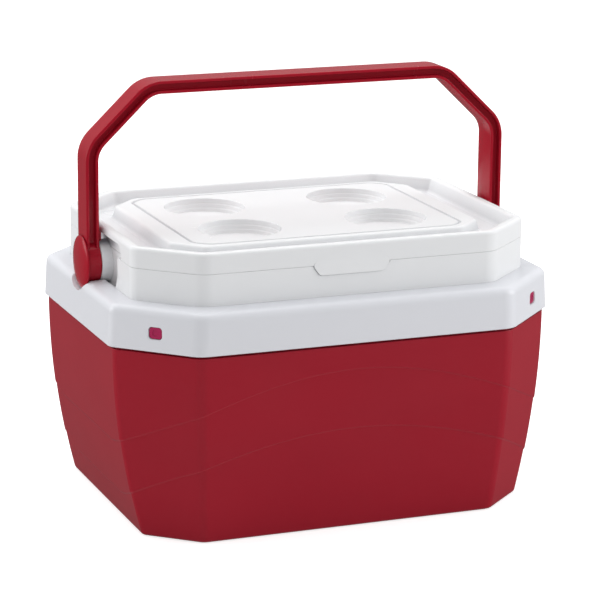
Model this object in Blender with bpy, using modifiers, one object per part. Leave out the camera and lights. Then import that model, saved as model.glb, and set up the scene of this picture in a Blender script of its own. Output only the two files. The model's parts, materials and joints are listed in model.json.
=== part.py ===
"""Hard-sided cooler chest with a folding carry handle and a lift-off lid.

Metres, +Z up. The origin is the centre of the footprint on the resting face.
+X runs along the length and -Y is the front. The handle stands upright.
"""

import math

import bmesh
import bpy
from mathutils import Matrix, Vector

# ---------------------------------------------------------------- driving dimensions
# A plan is an eight-sided outline with rounded corners: half length, half width, half of the long
# flat, half of the end flat, corner radius at the end, corner radius at the long face.
COLLAR_FOOT_PLAN = (0.2022, 0.1560, 0.1420, 0.0972, 0.011, 0.020)
COLLAR_HEAD_PLAN = (0.2003, 0.1557, 0.1403, 0.0971, 0.011, 0.020)
SHELL_TOP_PLAN = (0.1985, 0.1535, 0.1405, 0.0980, 0.009, 0.016)
SHELL_BASE_PLAN = (0.1762, 0.1391, 0.1332, 0.1010, 0.008, 0.014)
NECK_PLAN = (0.1800, 0.1352, 0.1320, 0.0907, 0.014, 0.022)
OPENING_PLAN = (0.1600, 0.1190, 0.1220, 0.0840, 0.014, 0.020)
TUB_FLOOR_PLAN = (0.1500, 0.1090, 0.1150, 0.0770, 0.013, 0.018)
PLATFORM_PLAN = (0.1420, 0.1010, 0.1180, 0.0760, 0.008, 0.012)
GROOVE_PLAN = (0.1250, 0.0955, 0.1120, 0.0840, 0.014, 0.014)

# Heights
SHELL_LEDGE_Z = 0.1656
SHELL_TOP_Z = 0.1925
COLLAR_FOOT_Z = 0.1678
COLLAR_EDGE_Z = 0.2036
NECK_FOOT_Z = 0.2050
SEAM_Z = 0.2320
LID_TOP_Z = 0.2497
TUB_FLOOR_Z = 0.0240
TUB_FILLET = 0.0060
PLUG_FLOOR_Z = 0.2135

# Walls and gaps
WALL = 0.0022
NECK_WALL = 0.0026
GAP = 0.0003
REBATE = 0.0027
EDGE = 0.0008

# Flange of the tub under the collar's shoulder, and the shoulder of the foam below it
FLANGE_TOP_Z = 0.1995
FLANGE_FOOT_Z = 0.1972
FLANGE_WIDTH = 0.0120
FOAM_SHOULDER_Z = 0.1960

# Inner tray of the lid
PLUG_CLEARANCE = 0.0022
PLUG_TAPER = 0.0010
PLUG_FLANGE_THICK = 0.0020

# Waves moulded in the outer casing: two shallow steps that run level round the ends and rise towards
# the middle of the long faces. Each is its low height, its rise, where the rise ends on the way from
# the middle of the long face, 0, to the middle of the end, 1, and how sharply it ends there.
WAVES = ((0.0275, 0.064, 0.80, 1.15), (0.0780, 0.066, 0.78, 1.30))
WAVE_STEP = 0.0008

# Handle and its pivots
PIVOT_Z = 0.2180
ARM_X = 0.1892
ARM_THICK = 0.0112
HANDLE_DEPTH = 0.0265
HANDLE_CORNERS = ((0.1892, 0.3178), (0.1371, 0.3679))
HANDLE_BEND_R = 0.026
HANDLE_CROWN = 0.0008
FLANGE_THICK = 0.0026
WEB_THICK = 0.0145
HUB_R = 0.019
HUB_INNER_X = 0.1830
HUB_OUTER_X = 0.1944
CAP_R = 0.0230
CAP_INNER_X = 0.1952
CAP_APEX_X = 0.1993
PIN_R = 0.0050
PIN_HEAD_R = 0.0080
PIN_INNER_X = 0.1618
TROUGH_R = 0.0205
TROUGH_INNER_X = 0.1602
TROUGH_WALL_R = 0.0280
TROUGH_CLEAR_R = 0.0290
CAP_POCKET_R = 0.0242
CAP_POCKET_X = 0.1938
PIN_BOSS_R = 0.0120
HUB_BOSS_R = 0.0186
BEYOND_X = 0.2060

# Recess in the end walls that the hubs stand in
RECESS_X = 0.1730
RECESS_OUTER_X = 0.1860
NECK_RECESS_HALF = 0.052
NECK_RECESS_FOOT_HALF = 0.044
NECK_RECESS_FOOT_Z = 0.2002
NECK_RECESS_SIDE_Z = 0.2160
LID_RECESS_HALF = 0.0620
LID_RECESS_TOP_Z = 0.2440
LID_RECESS_CORNER_R = 0.0105

# Lid details
RIM_WIDTH = 0.0085
GUTTER_Z = 0.2370
PLATFORM_Z = 0.2477
GROOVE_WIDTH = 0.0011
GROOVE_DEPTH = 0.0007
CUP_TIERS = ((0.0360, 0.2441), (0.0349, 0.2404), (0.0338, 0.2365))
CUP_CENTRES = ((-0.068, -0.0455), (0.068, -0.0455), (-0.068, 0.0455), (0.068, 0.0455))
TAB_TOP_HALF = 0.038
TAB_FOOT_HALF = 0.029
TAB_TOP_Z = 0.2360
TAB_FOOT_Z = 0.2237
TAB_CORNER_R = 0.004
TAB_PROUD = 0.0014

# Corner clips that pin the collar to the casing
CLIP_Z = 0.1838
CLIP_WIDTH = 0.0125
CLIP_HEIGHT = 0.0105
CLIP_CORNER_R = 0.003
CLIP_SUNK = 0.0008
CLIP_HEAD_FOOT = 0.0030
SHANK_WIDTH = 0.0090
SHANK_HEIGHT = 0.0075
SHANK_FOOT = 0.0110
RIGHT_CLIPS_SHIFT = 0.0065

# Colours are linear RGB
RED = (0.29, 0.010, 0.020)
CLIP_RED = (0.27, 0.012, 0.040)
WHITE = (0.80, 0.80, 0.79)
COOL_WHITE = (0.74, 0.76, 0.79)
FOAM_WHITE = (0.86, 0.86, 0.84)


# ---------------------------------------------------------------- scene, materials
def clear_scene():
    for old in list(bpy.data.objects):
        bpy.data.objects.remove(old)


def collection(name, hidden=False):
    made = bpy.data.collections.new(name)
    bpy.context.scene.collection.children.link(made)
    made.hide_render = hidden
    return made


def plastic(name, colour, roughness):
    made = bpy.data.materials.new(name)
    made.use_nodes = True
    shader = made.node_tree.nodes["Principled BSDF"]
    shader.inputs["Base Color"].default_value = (*colour, 1.0)
    shader.inputs["Roughness"].default_value = roughness
    shader.inputs["Metallic"].default_value = 0.0
    return made


clear_scene()
PARTS = collection("cooler_chest")
CUTTERS = collection("cutters", hidden=True)
RED_PLASTIC = plastic("red_plastic", RED, 0.32)
CLIP_PLASTIC = plastic("clip_plastic", CLIP_RED, 0.35)
WHITE_PLASTIC = plastic("white_plastic", WHITE, 0.28)
COLLAR_PLASTIC = plastic("collar_plastic", COOL_WHITE, 0.28)
FOAM = plastic("insulation_foam", FOAM_WHITE, 0.9)


# ---------------------------------------------------------------- outlines
def blended(plan_a, plan_b, share):
    return tuple(a + (b - a) * share for a, b in zip(plan_a, plan_b))


def inset(plan, distance):
    """The plan moved inwards on every side, which keeps its slanted corners parallel."""
    half_length, half_width, long_flat, end_flat, end_radius, long_radius = plan
    slant = math.atan2(half_width - end_flat, half_length - long_flat)
    return (
        half_length - distance,
        half_width - distance,
        long_flat - distance * math.tan(slant / 2),
        end_flat - distance * math.tan((math.pi / 2 - slant) / 2),
        max(end_radius - distance, 0.002),
        max(long_radius - distance, 0.002),
    )


def rounded_corner(before, corner, after, radius, steps):
    """Points of the arc that rounds a corner of an outline, from the first side to the second."""
    into = (corner - before).normalized()
    out = (after - corner).normalized()
    turn = into.angle(out)
    tangent = radius * math.tan(turn / 2)
    start, end = corner - into * tangent, corner + out * tangent
    centre = corner + (out - into).normalized() * (radius / math.cos(turn / 2))
    return [
        centre + (start - centre).lerp(end - centre, i / steps).normalized() * radius
        for i in range(steps + 1)
    ]


def divided(start, end, steps):
    """The points that divide a line into steps, without its last point."""
    return [start.lerp(end, i / steps) for i in range(steps)]


def quadrant(plan, arc_steps, flat_steps):
    """The outline from the middle of the +X end face to the middle of the +Y long face."""
    half_length, half_width, long_flat, end_flat, end_radius, long_radius = plan
    start, finish = Vector((half_length, 0)), Vector((0, half_width))
    end_corner, long_corner = Vector((half_length, end_flat)), Vector((long_flat, half_width))
    arc_a = rounded_corner(start, end_corner, long_corner, end_radius, arc_steps)
    arc_b = rounded_corner(end_corner, long_corner, finish, long_radius, arc_steps)
    end_steps, slant_steps, long_steps = flat_steps
    return (
        divided(start, arc_a[0], end_steps)
        + arc_a[:-1]
        + divided(arc_a[-1], arc_b[0], slant_steps)
        + arc_b[:-1]
        + divided(arc_b[-1], finish, long_steps)
        + [finish]
    )


def all_round(items, flip):
    """A list for one quadrant, repeated round the outline. flip(item, x, y) mirrors one item."""
    loop = list(items)
    loop += [flip(item, -1, 1) for item in reversed(items[:-1])]
    loop += [flip(item, -1, -1) for item in items[1:]]
    loop += [flip(item, 1, -1) for item in reversed(items[1:-1])]
    return loop


def outline(plan, arc_steps=4, flat_steps=(1, 1, 1)):
    """Points round the whole plan, anticlockwise from the middle of the +X end face."""
    return all_round(quadrant(plan, arc_steps, flat_steps), lambda p, x, y: Vector((p.x * x, p.y * y)))


def level_ring(plan, z, **steps):
    return [(p.x, p.y, z) for p in outline(plan, **steps)]


def rounded_rectangle(width, height, radius, steps=4):
    """Points round a rectangle with rounded corners, anticlockwise, centred on the origin."""
    w, h = width / 2, height / 2
    corners = [Vector(c) for c in ((w, -h), (w, h), (-w, h), (-w, -h))]
    points = []
    for i, corner in enumerate(corners):
        points += rounded_corner(corners[i - 1], corner, corners[(i + 1) % 4], radius, steps)
    return points


# ---------------------------------------------------------------- solids
def add_object(name, mesh, material, cutter=False):
    made = bpy.data.objects.new(name, mesh)
    if cutter:
        CUTTERS.objects.link(made)
        made.hide_render = True
        made.display_type = "WIRE"
    else:
        PARTS.objects.link(made)
    if material:
        mesh.materials.append(material)
    return made


def smooth(made, angle=30):
    made.data.shade_smooth()
    made.data.set_sharp_from_angle(angle=math.radians(angle))
    return made


def loft(name, rings, material=None, cutter=False, cyclic=False):
    """A closed skin over a stack of rings with equal point counts. The first and last rings are capped,
    or joined to each other when the stack is cyclic."""
    mesh = bmesh.new()
    rows = [[mesh.verts.new(point) for point in ring] for ring in rings]
    count = len(rows[0])
    pairs = list(zip(rows, rows[1:] + rows[:1])) if cyclic else list(zip(rows, rows[1:]))
    for lower, upper in pairs:
        for i in range(count):
            j = (i + 1) % count
            mesh.faces.new((lower[i], lower[j], upper[j], upper[i]))
    if not cyclic:
        mesh.faces.new(list(reversed(rows[0])))
        mesh.faces.new(rows[-1])
    bmesh.ops.recalc_face_normals(mesh, faces=mesh.faces)
    data = bpy.data.meshes.new(name)
    mesh.to_mesh(data)
    mesh.free()
    return add_object(name, data, material, cutter)


def mesh_of_curve(name, source, material, cutter):
    """The closed mesh of a curve object, which it replaces."""
    bpy.context.view_layer.update()
    graph = bpy.context.evaluated_depsgraph_get()
    data = bpy.data.meshes.new_from_object(source.evaluated_get(graph))
    mesh = bmesh.new()
    mesh.from_mesh(data)
    bmesh.ops.remove_doubles(mesh, verts=mesh.verts, dist=1e-6)
    bmesh.ops.recalc_face_normals(mesh, faces=mesh.faces)
    mesh.to_mesh(data)
    mesh.free()
    data.materials.clear()
    made = add_object(name, data, material, cutter)
    made.matrix_world = source.matrix_world.copy()
    bpy.data.objects.remove(source)
    return made


def poly_curve(name, points, closed, dimensions="2D"):
    data = bpy.data.curves.new(name, "CURVE")
    data.dimensions = dimensions
    spline = data.splines.new("POLY")
    spline.points.add(len(points) - 1)
    for knot, point in zip(spline.points, points):
        knot.co = (*point, *([0.0] * (3 - len(point))), 1.0)
    spline.use_cyclic_u = closed
    made = bpy.data.objects.new(name, data)
    bpy.context.scene.collection.objects.link(made)
    return made


def plate(name, points, thickness, matrix, material=None, cutter=False):
    """A flat outline with a thickness, centred on its own plane and placed by matrix."""
    curve = poly_curve(name + "_outline", [(p[0], p[1]) for p in points], closed=True)
    curve.data.fill_mode = "BOTH"
    curve.data.extrude = thickness / 2
    curve.matrix_world = matrix
    return mesh_of_curve(name, curve, material, cutter)


def box(name, low, high, material=None, cutter=False):
    bpy.ops.mesh.primitive_cube_add(size=1)
    cube = bpy.context.object
    low, high = Vector(low), Vector(high)
    size = high - low
    cube.data.transform(Matrix.Translation((low + high) / 2) @ Matrix.Diagonal((*size, 1)))
    data = cube.data
    bpy.data.objects.remove(cube)
    return add_object(name, data, material, cutter)


def along_x(name, radius, x_low, x_high, segments=40, cutter=True):
    """A cylinder on the handle's pivot line."""
    bpy.ops.mesh.primitive_cylinder_add(vertices=segments, radius=radius, depth=x_high - x_low)
    rod = bpy.context.object
    turn = Matrix.Rotation(math.pi / 2, 4, "Y")
    rod.data.transform(Matrix.Translation(((x_low + x_high) / 2, 0, PIVOT_Z)) @ turn)
    data = rod.data
    bpy.data.objects.remove(rod)
    return add_object(name, data, None, cutter)


def turned_on_pivot(name, profile, side, material, cutter=False, segments=40):
    """A profile of (distance out from the middle, radius) pairs, turned about the handle's pivot line."""
    data = bpy.data.meshes.new(name)
    points = [(radius, 0.0, out) for out, radius in profile]
    data.from_pydata(points, [(i, i + 1) for i in range(len(points) - 1)], [])
    made = add_object(name, data, material, cutter)
    screw = made.modifiers.new("turn", "SCREW")
    screw.axis = "Z"
    screw.steps = screw.render_steps = segments
    screw.use_merge_vertices = True
    screw.merge_threshold = 0.00001
    made.matrix_world = Matrix.Translation((0, 0, PIVOT_Z)) @ Matrix.Rotation(side * math.pi / 2, 4, "Y")
    return made


def boolean(target, operation, tool):
    made = target.modifiers.new(f"{operation.lower()}_{tool.name}", "BOOLEAN")
    made.operation = operation
    made.solver = "EXACT"
    made.object = tool
    return target


def cut(target, *tools):
    for tool in tools:
        boolean(target, "DIFFERENCE", tool)
    return target


def join(target, *tools):
    for tool in tools:
        boolean(target, "UNION", tool)
    return target


def span(side, inner, outer):
    """The x range between two distances out from the middle, at one end."""
    return sorted((side * inner, side * outer))


def at_ends(make, name, *args, **kwargs):
    """The same piece made at the +X end and at the -X end."""
    return [make(f"{name}_{word}", side, *args, **kwargs) for word, side in (("right", 1), ("left", -1))]


# ---------------------------------------------------------------- casing
SHELL_STEPS = {"arc_steps": 3, "flat_steps": (3, 2, 5)}
SHELL_SKIN = REBATE + WALL
HOLLOW_HEIGHTS = (0.010, 0.035, 0.070, 0.110, 0.150)


def shell_plan(z, distance=0.0):
    """The casing's plan at a height: upright at the top and curving in towards the base."""
    drop = max(0.0, 1 - z / SHELL_LEDGE_Z)
    return inset(blended(SHELL_TOP_PLAN, SHELL_BASE_PLAN, drop * drop), distance)


def wave_shares():
    """How far each column of the casing lies from the middle of the long face, 0, to the middle of the end, 1."""
    points = quadrant(SHELL_TOP_PLAN, **SHELL_STEPS)
    lengths = [0.0]
    for a, b in zip(points, points[1:]):
        lengths.append(lengths[-1] + (b - a).length)
    shares = [1 - length / lengths[-1] for length in lengths]
    return all_round(shares, lambda share, x, y: share)


def shell_ring(height_of, distance):
    """A ring whose height changes round the casing, as height_of(share) gives it."""
    ring = []
    for i, share in enumerate(wave_shares()):
        z = height_of(share)
        point = outline(shell_plan(z, distance), **SHELL_STEPS)[i]
        ring.append((point.x, point.y, z))
    return ring


def wave_height(low, rise, reach, power):
    return lambda share: low + rise * math.cos(min(share / reach, 1) * math.pi / 2) ** power


def between(lower, upper, fraction):
    return lambda share: lower(share) + (upper(share) - lower(share)) * fraction


def shell_side():
    """The rings of the casing's wavy side, from its lower edge to the collar's ledge."""
    low_edge, high_edge = (lambda share: 0.006), (lambda share: SHELL_LEDGE_Z)
    first, second = (wave_height(*wave) for wave in WAVES)
    lip = 0.0012
    bands = (
        (low_edge, first, 2 * WAVE_STEP),
        (lambda share: first(share) + lip, second, WAVE_STEP),
        (lambda share: second(share) + lip, high_edge, 0.0),
    )
    rings = []
    for lower, upper, depth in bands:
        rings += [shell_ring(between(lower, upper, part), depth) for part in (0, 0.5, 1)]
    return rings


def body_shell():
    """The outer casing, open at the top, standing on a rim round its hollowed base."""
    floor, foot_ring = 0.0020, 0.0200
    base = shell_plan(0.0, 2 * WAVE_STEP)
    foot = [
        level_ring(inset(base, foot_ring + floor), floor, **SHELL_STEPS),
        level_ring(inset(base, foot_ring), 0.0, **SHELL_STEPS),
        level_ring(inset(base, 0.0028), 0.0, **SHELL_STEPS),
        level_ring(inset(base, 0.0006), 0.0010, **SHELL_STEPS),
    ]
    neck = shell_plan(SHELL_LEDGE_Z, REBATE)
    top = [
        level_ring(neck, SHELL_LEDGE_Z, **SHELL_STEPS),
        level_ring(neck, SHELL_TOP_Z, **SHELL_STEPS),
        level_ring(inset(neck, WALL), SHELL_TOP_Z, **SHELL_STEPS),
    ]
    inside = [level_ring(shell_plan(z, SHELL_SKIN), z, **SHELL_STEPS) for z in reversed(HOLLOW_HEIGHTS)]
    hollow_floor = shell_plan(floor + WALL, 2 * WAVE_STEP + WALL)
    inside.append(level_ring(inset(hollow_floor, 0.005), floor + WALL, **SHELL_STEPS))
    shell = loft("body_shell", foot + shell_side() + top + inside, RED_PLASTIC)
    cut(shell, *at_ends(trough_space, "shell_trough"))
    hole_width, hole_height = SHANK_WIDTH + 2 * GAP, SHANK_HEIGHT + 2 * GAP
    return smooth(cut(shell, *clip_tools("shell_clip_hole", hole_width, hole_height)))


def body_foam():
    """The insulation between the casing and the tub, with the same height as the hollow it fills."""
    skin = SHELL_SKIN + 2 * GAP
    low, first, *rest = (0.0048, HOLLOW_HEIGHTS[0] + 0.002, *HOLLOW_HEIGHTS[1:])
    top = SEAM_Z - NECK_WALL - 2 * GAP
    neck = inset(NECK_PLAN, NECK_WALL + 2 * GAP)
    outside = [level_ring(inset(shell_plan(low, skin), 0.005), low)]
    outside += [level_ring(shell_plan(z, skin), z) for z in (first, *rest)]
    outside += [
        level_ring(shell_plan(SHELL_LEDGE_Z, skin), FOAM_SHOULDER_Z),
        level_ring(neck, FOAM_SHOULDER_Z),
        level_ring(neck, top),
    ]
    inside = [level_ring(tub_plan(z, -WALL - GAP), z) for z in (top, TUB_FLOOR_Z + TUB_FILLET)]
    inside.append(level_ring(inset(TUB_FLOOR_PLAN, 0.0045), TUB_FLOOR_Z - WALL - GAP))
    foam = loft("body_foam", outside + inside, FOAM)
    cut(foam, *at_ends(foam_notch, "foam_notch"))
    cut(foam, *at_ends(trough_space, "foam_trough"))
    return cut(foam, *clip_tools("foam_clip_pocket", SHANK_WIDTH + 0.0020, SHANK_HEIGHT + 0.0020))


def foam_notch(name, side):
    """Room in the foam for the recess in the neck's end wall."""
    low, high = span(side, RECESS_X - WALL - 0.0056, BEYOND_X)
    half, foot = NECK_RECESS_HALF + 0.0120, FOAM_SHOULDER_Z - 0.0060
    return box(name, (low, -half, foot), (high, half, SEAM_Z + 0.010), cutter=True)


def trough_space(name, side):
    return along_x(name, TROUGH_CLEAR_R, *span(side, TROUGH_INNER_X, BEYOND_X))


# ---------------------------------------------------------------- tub with its neck
def tub_plan(z, distance=0.0):
    share = (SEAM_Z - z) / (SEAM_Z - TUB_FLOOR_Z)
    return inset(blended(OPENING_PLAN, TUB_FLOOR_PLAN, share), distance)


def liner():
    """The tub, the rim that turns over at its top and the neck that hangs from the rim."""
    rim_underside = SEAM_Z - NECK_WALL
    flange = inset(NECK_PLAN, -FLANGE_WIDTH)
    neck_inner = inset(NECK_PLAN, NECK_WALL)
    rim_round = 0.0015
    rings = [
        level_ring(inset(TUB_FLOOR_PLAN, TUB_FILLET), TUB_FLOOR_Z),
        level_ring(tub_plan(TUB_FLOOR_Z + TUB_FILLET), TUB_FLOOR_Z + TUB_FILLET),
        level_ring(tub_plan(SEAM_Z - rim_round), SEAM_Z - rim_round),
        level_ring(tub_plan(SEAM_Z, -rim_round), SEAM_Z),
        level_ring(inset(NECK_PLAN, EDGE), SEAM_Z),
        level_ring(NECK_PLAN, SEAM_Z - EDGE),
        level_ring(NECK_PLAN, FLANGE_TOP_Z),
        level_ring(flange, FLANGE_TOP_Z),
        level_ring(flange, FLANGE_FOOT_Z),
        level_ring(neck_inner, FLANGE_FOOT_Z),
        level_ring(neck_inner, rim_underside),
        level_ring(tub_plan(rim_underside, -WALL), rim_underside),
        level_ring(tub_plan(TUB_FLOOR_Z + TUB_FILLET, -WALL), TUB_FLOOR_Z + TUB_FILLET),
        level_ring(inset(TUB_FLOOR_PLAN, 0.005), TUB_FLOOR_Z - WALL),
    ]
    tub = loft("liner", rings, WHITE_PLASTIC)
    join(tub, *at_ends(neck_recess_block, "neck_recess_block"))
    join(tub, *at_ends(pin_boss, "pin_boss"))
    cut(tub, *at_ends(neck_recess, "neck_recess"))
    cut(tub, *at_ends(hub_space, "liner_hub_space"))
    cut(tub, *at_ends(flange_gap, "flange_gap"))
    join(tub, *at_ends(hub_boss, "hub_boss"))
    cut(tub, *at_ends(pin_socket, "pin_socket"))
    return smooth(cut(tub, *tab_notches()))


def recess_block(name, side, half, foot, top):
    """The wall of a recess, before the recess is cut from it."""
    low, high = span(side, RECESS_X - WALL, NECK_PLAN[0] - 0.0007)
    return box(name, (low, -half - WALL, foot), (high, half + WALL, top), cutter=True)


def neck_recess_block(name, side):
    return recess_block(name, side, NECK_RECESS_HALF, SHELL_TOP_Z, SEAM_Z - 0.0010)


def neck_recess(name, side):
    """A pocket with slanted ends, open at the top and at the outside."""
    half, foot_half, top = NECK_RECESS_HALF, NECK_RECESS_FOOT_HALF, SEAM_Z + 0.0080
    right = [(foot_half, NECK_RECESS_FOOT_Z), (half, NECK_RECESS_SIDE_Z), (half, top)]
    left = [(-y, z) for y, z in reversed(right)]
    return end_plate(name, right + left, side, RECESS_X, RECESS_OUTER_X)


def end_plate(name, corners, side, x_inner, x_outer):
    """A flat outline of (y, z) points, standing across an end from one distance out to another."""
    middle = side * (x_inner + x_outer) / 2
    stand = Matrix(((0, 0, 1, middle), (1, 0, 0, 0), (0, 1, 0, 0), (0, 0, 0, 1)))
    return plate(name, corners, x_outer - x_inner, stand, cutter=True)


def hub_space(name, side):
    return along_x(name, TROUGH_R, *span(side, RECESS_X, BEYOND_X))


def flange_gap(name, side):
    return along_x(name, TROUGH_CLEAR_R, *span(side, NECK_PLAN[0] - 0.0005, BEYOND_X))


def pin_boss(name, side):
    return along_x(name, PIN_BOSS_R, *span(side, PIN_INNER_X - 0.0010, RECESS_X - 0.0010))


def hub_boss(name, side):
    """The round boss that the hub turns against, held clear of the lid above the seam."""
    boss = along_x(name, HUB_BOSS_R, *span(side, RECESS_X - 0.0005, HUB_INNER_X - GAP))
    low, high = span(side, RECESS_X - 0.0020, RECESS_X + 0.0004)
    half = HUB_BOSS_R + 0.0020
    return cut(boss, box(name + "_clearance", (low, -half, SEAM_Z - 0.0002), (high, half, SEAM_Z + 0.010), cutter=True))


def pin_socket(name, side):
    return along_x(name, PIN_R + GAP, *span(side, PIN_INNER_X - GAP, HUB_INNER_X))


def tab_outline(grow):
    """The finger tab's trapezium as (x, z) points, made larger by grow on its sides and foot."""
    top, foot = TAB_TOP_HALF + grow, TAB_FOOT_HALF + grow
    left_top, right_top = Vector((-top, TAB_TOP_Z)), Vector((top, TAB_TOP_Z))
    left_foot, right_foot = Vector((-foot, TAB_FOOT_Z - grow)), Vector((foot, TAB_FOOT_Z - grow))
    foot_arc = rounded_corner(left_top, left_foot, right_foot, TAB_CORNER_R, 4)
    return foot_arc + rounded_corner(left_foot, right_foot, right_top, TAB_CORNER_R, 4) + [right_top, left_top]


def tab_block(name, side, grow, inner, foot_outer, top_outer):
    """The tab's outline as a block across a long face, whose outer face leans out from its top to its foot."""

    def outer(z):
        share = (TAB_TOP_Z - z) / (TAB_TOP_Z - TAB_FOOT_Z)
        return top_outer + (foot_outer - top_outer) * share

    points = tab_outline(grow)
    back = [(x, side * inner, z) for x, z in points]
    front = [(x, side * outer(z), z) for x, z in points]
    return loft(f"{name}_{'rear' if side > 0 else 'front'}", [back, front], cutter=True)


def tab_notches():
    """Shallow notches in the neck's long faces, a little larger than the tabs that hang in them."""
    face = NECK_PLAN[1]
    return [tab_block("tab_notch", side, 0.0005, face - 0.0013, face + 0.005, face + 0.005) for side in (-1, 1)]


# ---------------------------------------------------------------- collar
def collar_plan(z, distance=0.0):
    share = (z - COLLAR_FOOT_Z) / (COLLAR_EDGE_Z - COLLAR_FOOT_Z)
    return inset(blended(COLLAR_FOOT_PLAN, COLLAR_HEAD_PLAN, share), distance)


def collar():
    """The white skirt over the casing's top, with a shoulder that runs in to the neck."""
    edge_r = 0.0040
    lead = 0.0040
    skirt_top, shoulder_under = 0.1985, 0.2026
    fillet = [
        level_ring(
            collar_plan(COLLAR_EDGE_Z, edge_r * (1 - math.cos(turn))),
            COLLAR_EDGE_Z - edge_r * (1 - math.sin(turn)),
        )
        for turn in (0.0, math.pi / 6, math.pi / 3, math.pi / 2)
    ]
    neck_hole = inset(NECK_PLAN, -GAP)
    ring = loft(
        "collar",
        [level_ring(collar_plan(COLLAR_FOOT_Z, EDGE), COLLAR_FOOT_Z)]
        + [level_ring(collar_plan(COLLAR_FOOT_Z + EDGE), COLLAR_FOOT_Z + EDGE)]
        + fillet
        + [level_ring(inset(NECK_PLAN, lead), NECK_FOOT_Z)],
        COLLAR_PLASTIC,
    )
    hollow = loft(
        "collar_hollow",
        [
            level_ring(collar_plan(COLLAR_FOOT_Z, WALL), COLLAR_FOOT_Z - lead),
            level_ring(collar_plan(skirt_top, WALL), skirt_top),
            level_ring(collar_plan(skirt_top, WALL + 0.0020), skirt_top + 0.0023),
            level_ring(inset(NECK_PLAN, lead), shoulder_under),
        ],
        cutter=True,
    )
    cut(hollow, *at_ends(trough_block, "trough_block"))
    opening = loft("neck_opening", [level_ring(neck_hole, z) for z in (0.150, 0.215)], cutter=True)
    cut(ring, hollow, opening)
    cut(ring, *at_ends(collar_hub_space, "collar_hub_space"))
    cut(ring, *at_ends(cap_pocket, "cap_pocket"))
    return smooth(cut(ring, *clip_tools("clip_window", CLIP_WIDTH, CLIP_HEIGHT)))


def trough_block(name, side):
    """Where the collar's hollow stops short, which leaves a solid cradle under the hub."""
    return along_x(name, TROUGH_WALL_R, *span(side, NECK_PLAN[0] - 0.0030, BEYOND_X))


def collar_hub_space(name, side):
    return along_x(name, TROUGH_R, *span(side, RECESS_X, CAP_POCKET_X + 0.0022), segments=48)


def cap_pocket(name, side):
    return along_x(name, CAP_POCKET_R, *span(side, CAP_POCKET_X, BEYOND_X), segments=48)


# ---------------------------------------------------------------- corner clips
CLIP_CORNERS = {"front_right": (1, -1), "rear_right": (1, 1), "rear_left": (-1, 1), "front_left": (-1, -1)}


def clip_frame(signs):
    """Where a clip stands: its +Z points out of the collar's slanted face, and the origin is on that face."""
    half_length, half_width, long_flat, end_flat = collar_plan(CLIP_Z)[:4]
    sx, sy = signs
    end = Vector((sx * half_length, sy * end_flat, CLIP_Z))
    side = Vector((sx * long_flat, sy * half_width, CLIP_Z))
    out = Vector((abs(end.y - side.y) * sx, abs(end.x - side.x) * sy, 0)).normalized()
    up = Vector((0, 0, 1))
    across = up.cross(out)
    middle = (end + side) / 2
    if sx > 0:
        middle += (end - side).normalized() * RIGHT_CLIPS_SHIFT
    frame = Matrix((across, up, out)).transposed().to_4x4()
    return Matrix.Translation(middle) @ frame


def clip_block(name, signs, width, height, outer, inner, **kwargs):
    """A rounded block whose outer and inner faces lie these distances in from the slanted face."""
    place = clip_frame(signs) @ Matrix.Translation((0, 0, -(outer + inner) / 2))
    return plate(name, rounded_rectangle(width, height, CLIP_CORNER_R), inner - outer, place, **kwargs)


def clip_tools(name, width, height):
    """Cutters at the four corners, from outside the collar to past the clips' tips."""
    outer, inner = -0.0030, SHANK_FOOT + 0.0015
    return [
        clip_block(f"{name}_{corner}", signs, width, height, outer, inner, cutter=True)
        for corner, signs in CLIP_CORNERS.items()
    ]


def collar_clip(corner, signs):
    """A push-in clip: its head fills the collar's window and its shank goes through the casing."""
    width, height = CLIP_WIDTH - 2 * GAP, CLIP_HEIGHT - 2 * GAP
    name, inside_head = f"collar_clip_{corner}", (CLIP_SUNK + CLIP_HEAD_FOOT) / 2
    head = clip_block(name, signs, width, height, CLIP_SUNK, CLIP_HEAD_FOOT, material=CLIP_PLASTIC)
    shank = clip_block(
        f"clip_shank_{corner}", signs, SHANK_WIDTH, SHANK_HEIGHT, inside_head, SHANK_FOOT, cutter=True
    )
    return join(head, shank)


# ---------------------------------------------------------------- handle
def handle_path():
    """The handle's middle line as (x, z) points, from the right hub over the top to the left hub."""
    foot = Vector((ARM_X, PIVOT_Z + 0.0137))
    arm, shoulder = (Vector(c) for c in HANDLE_CORNERS)
    bends = rounded_corner(foot, arm, shoulder, HANDLE_BEND_R, 6)
    bends += rounded_corner(arm, shoulder, Vector((0, shoulder.y)), HANDLE_BEND_R, 6)
    half = [foot] + bends
    return half + [Vector((-p.x, p.y)) for p in reversed(half)]


def handle_section():
    """The H-shaped section: (out across the band's thickness, across its depth)."""
    thick, deep = ARM_THICK / 2, HANDLE_DEPTH / 2
    web, lip = WEB_THICK / 2, thick - FLANGE_THICK
    outer_edge, inner_edge = 0.0016, 0.0008
    outer = [(lip, web), (lip, deep), (thick - outer_edge, deep)]
    outer += [(thick - outer_edge * 0.3, deep - outer_edge * 0.3), (thick, deep - outer_edge)]
    inner = [(-thick - HANDLE_CROWN * 0.75, deep / 2), (-thick, deep - inner_edge)]
    inner += [(-thick + inner_edge, deep), (-lip, deep), (-lip, web)]
    front = [(-x, -y) for x, y in reversed([(-x, y) for x, y in outer])]
    rear_outer, rear_inner = outer, [(-thick - HANDLE_CROWN, 0.0)] + inner
    front_inner = [(x, -y) for x, y in reversed(inner)]
    return rear_outer + front + front_inner + rear_inner


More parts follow.
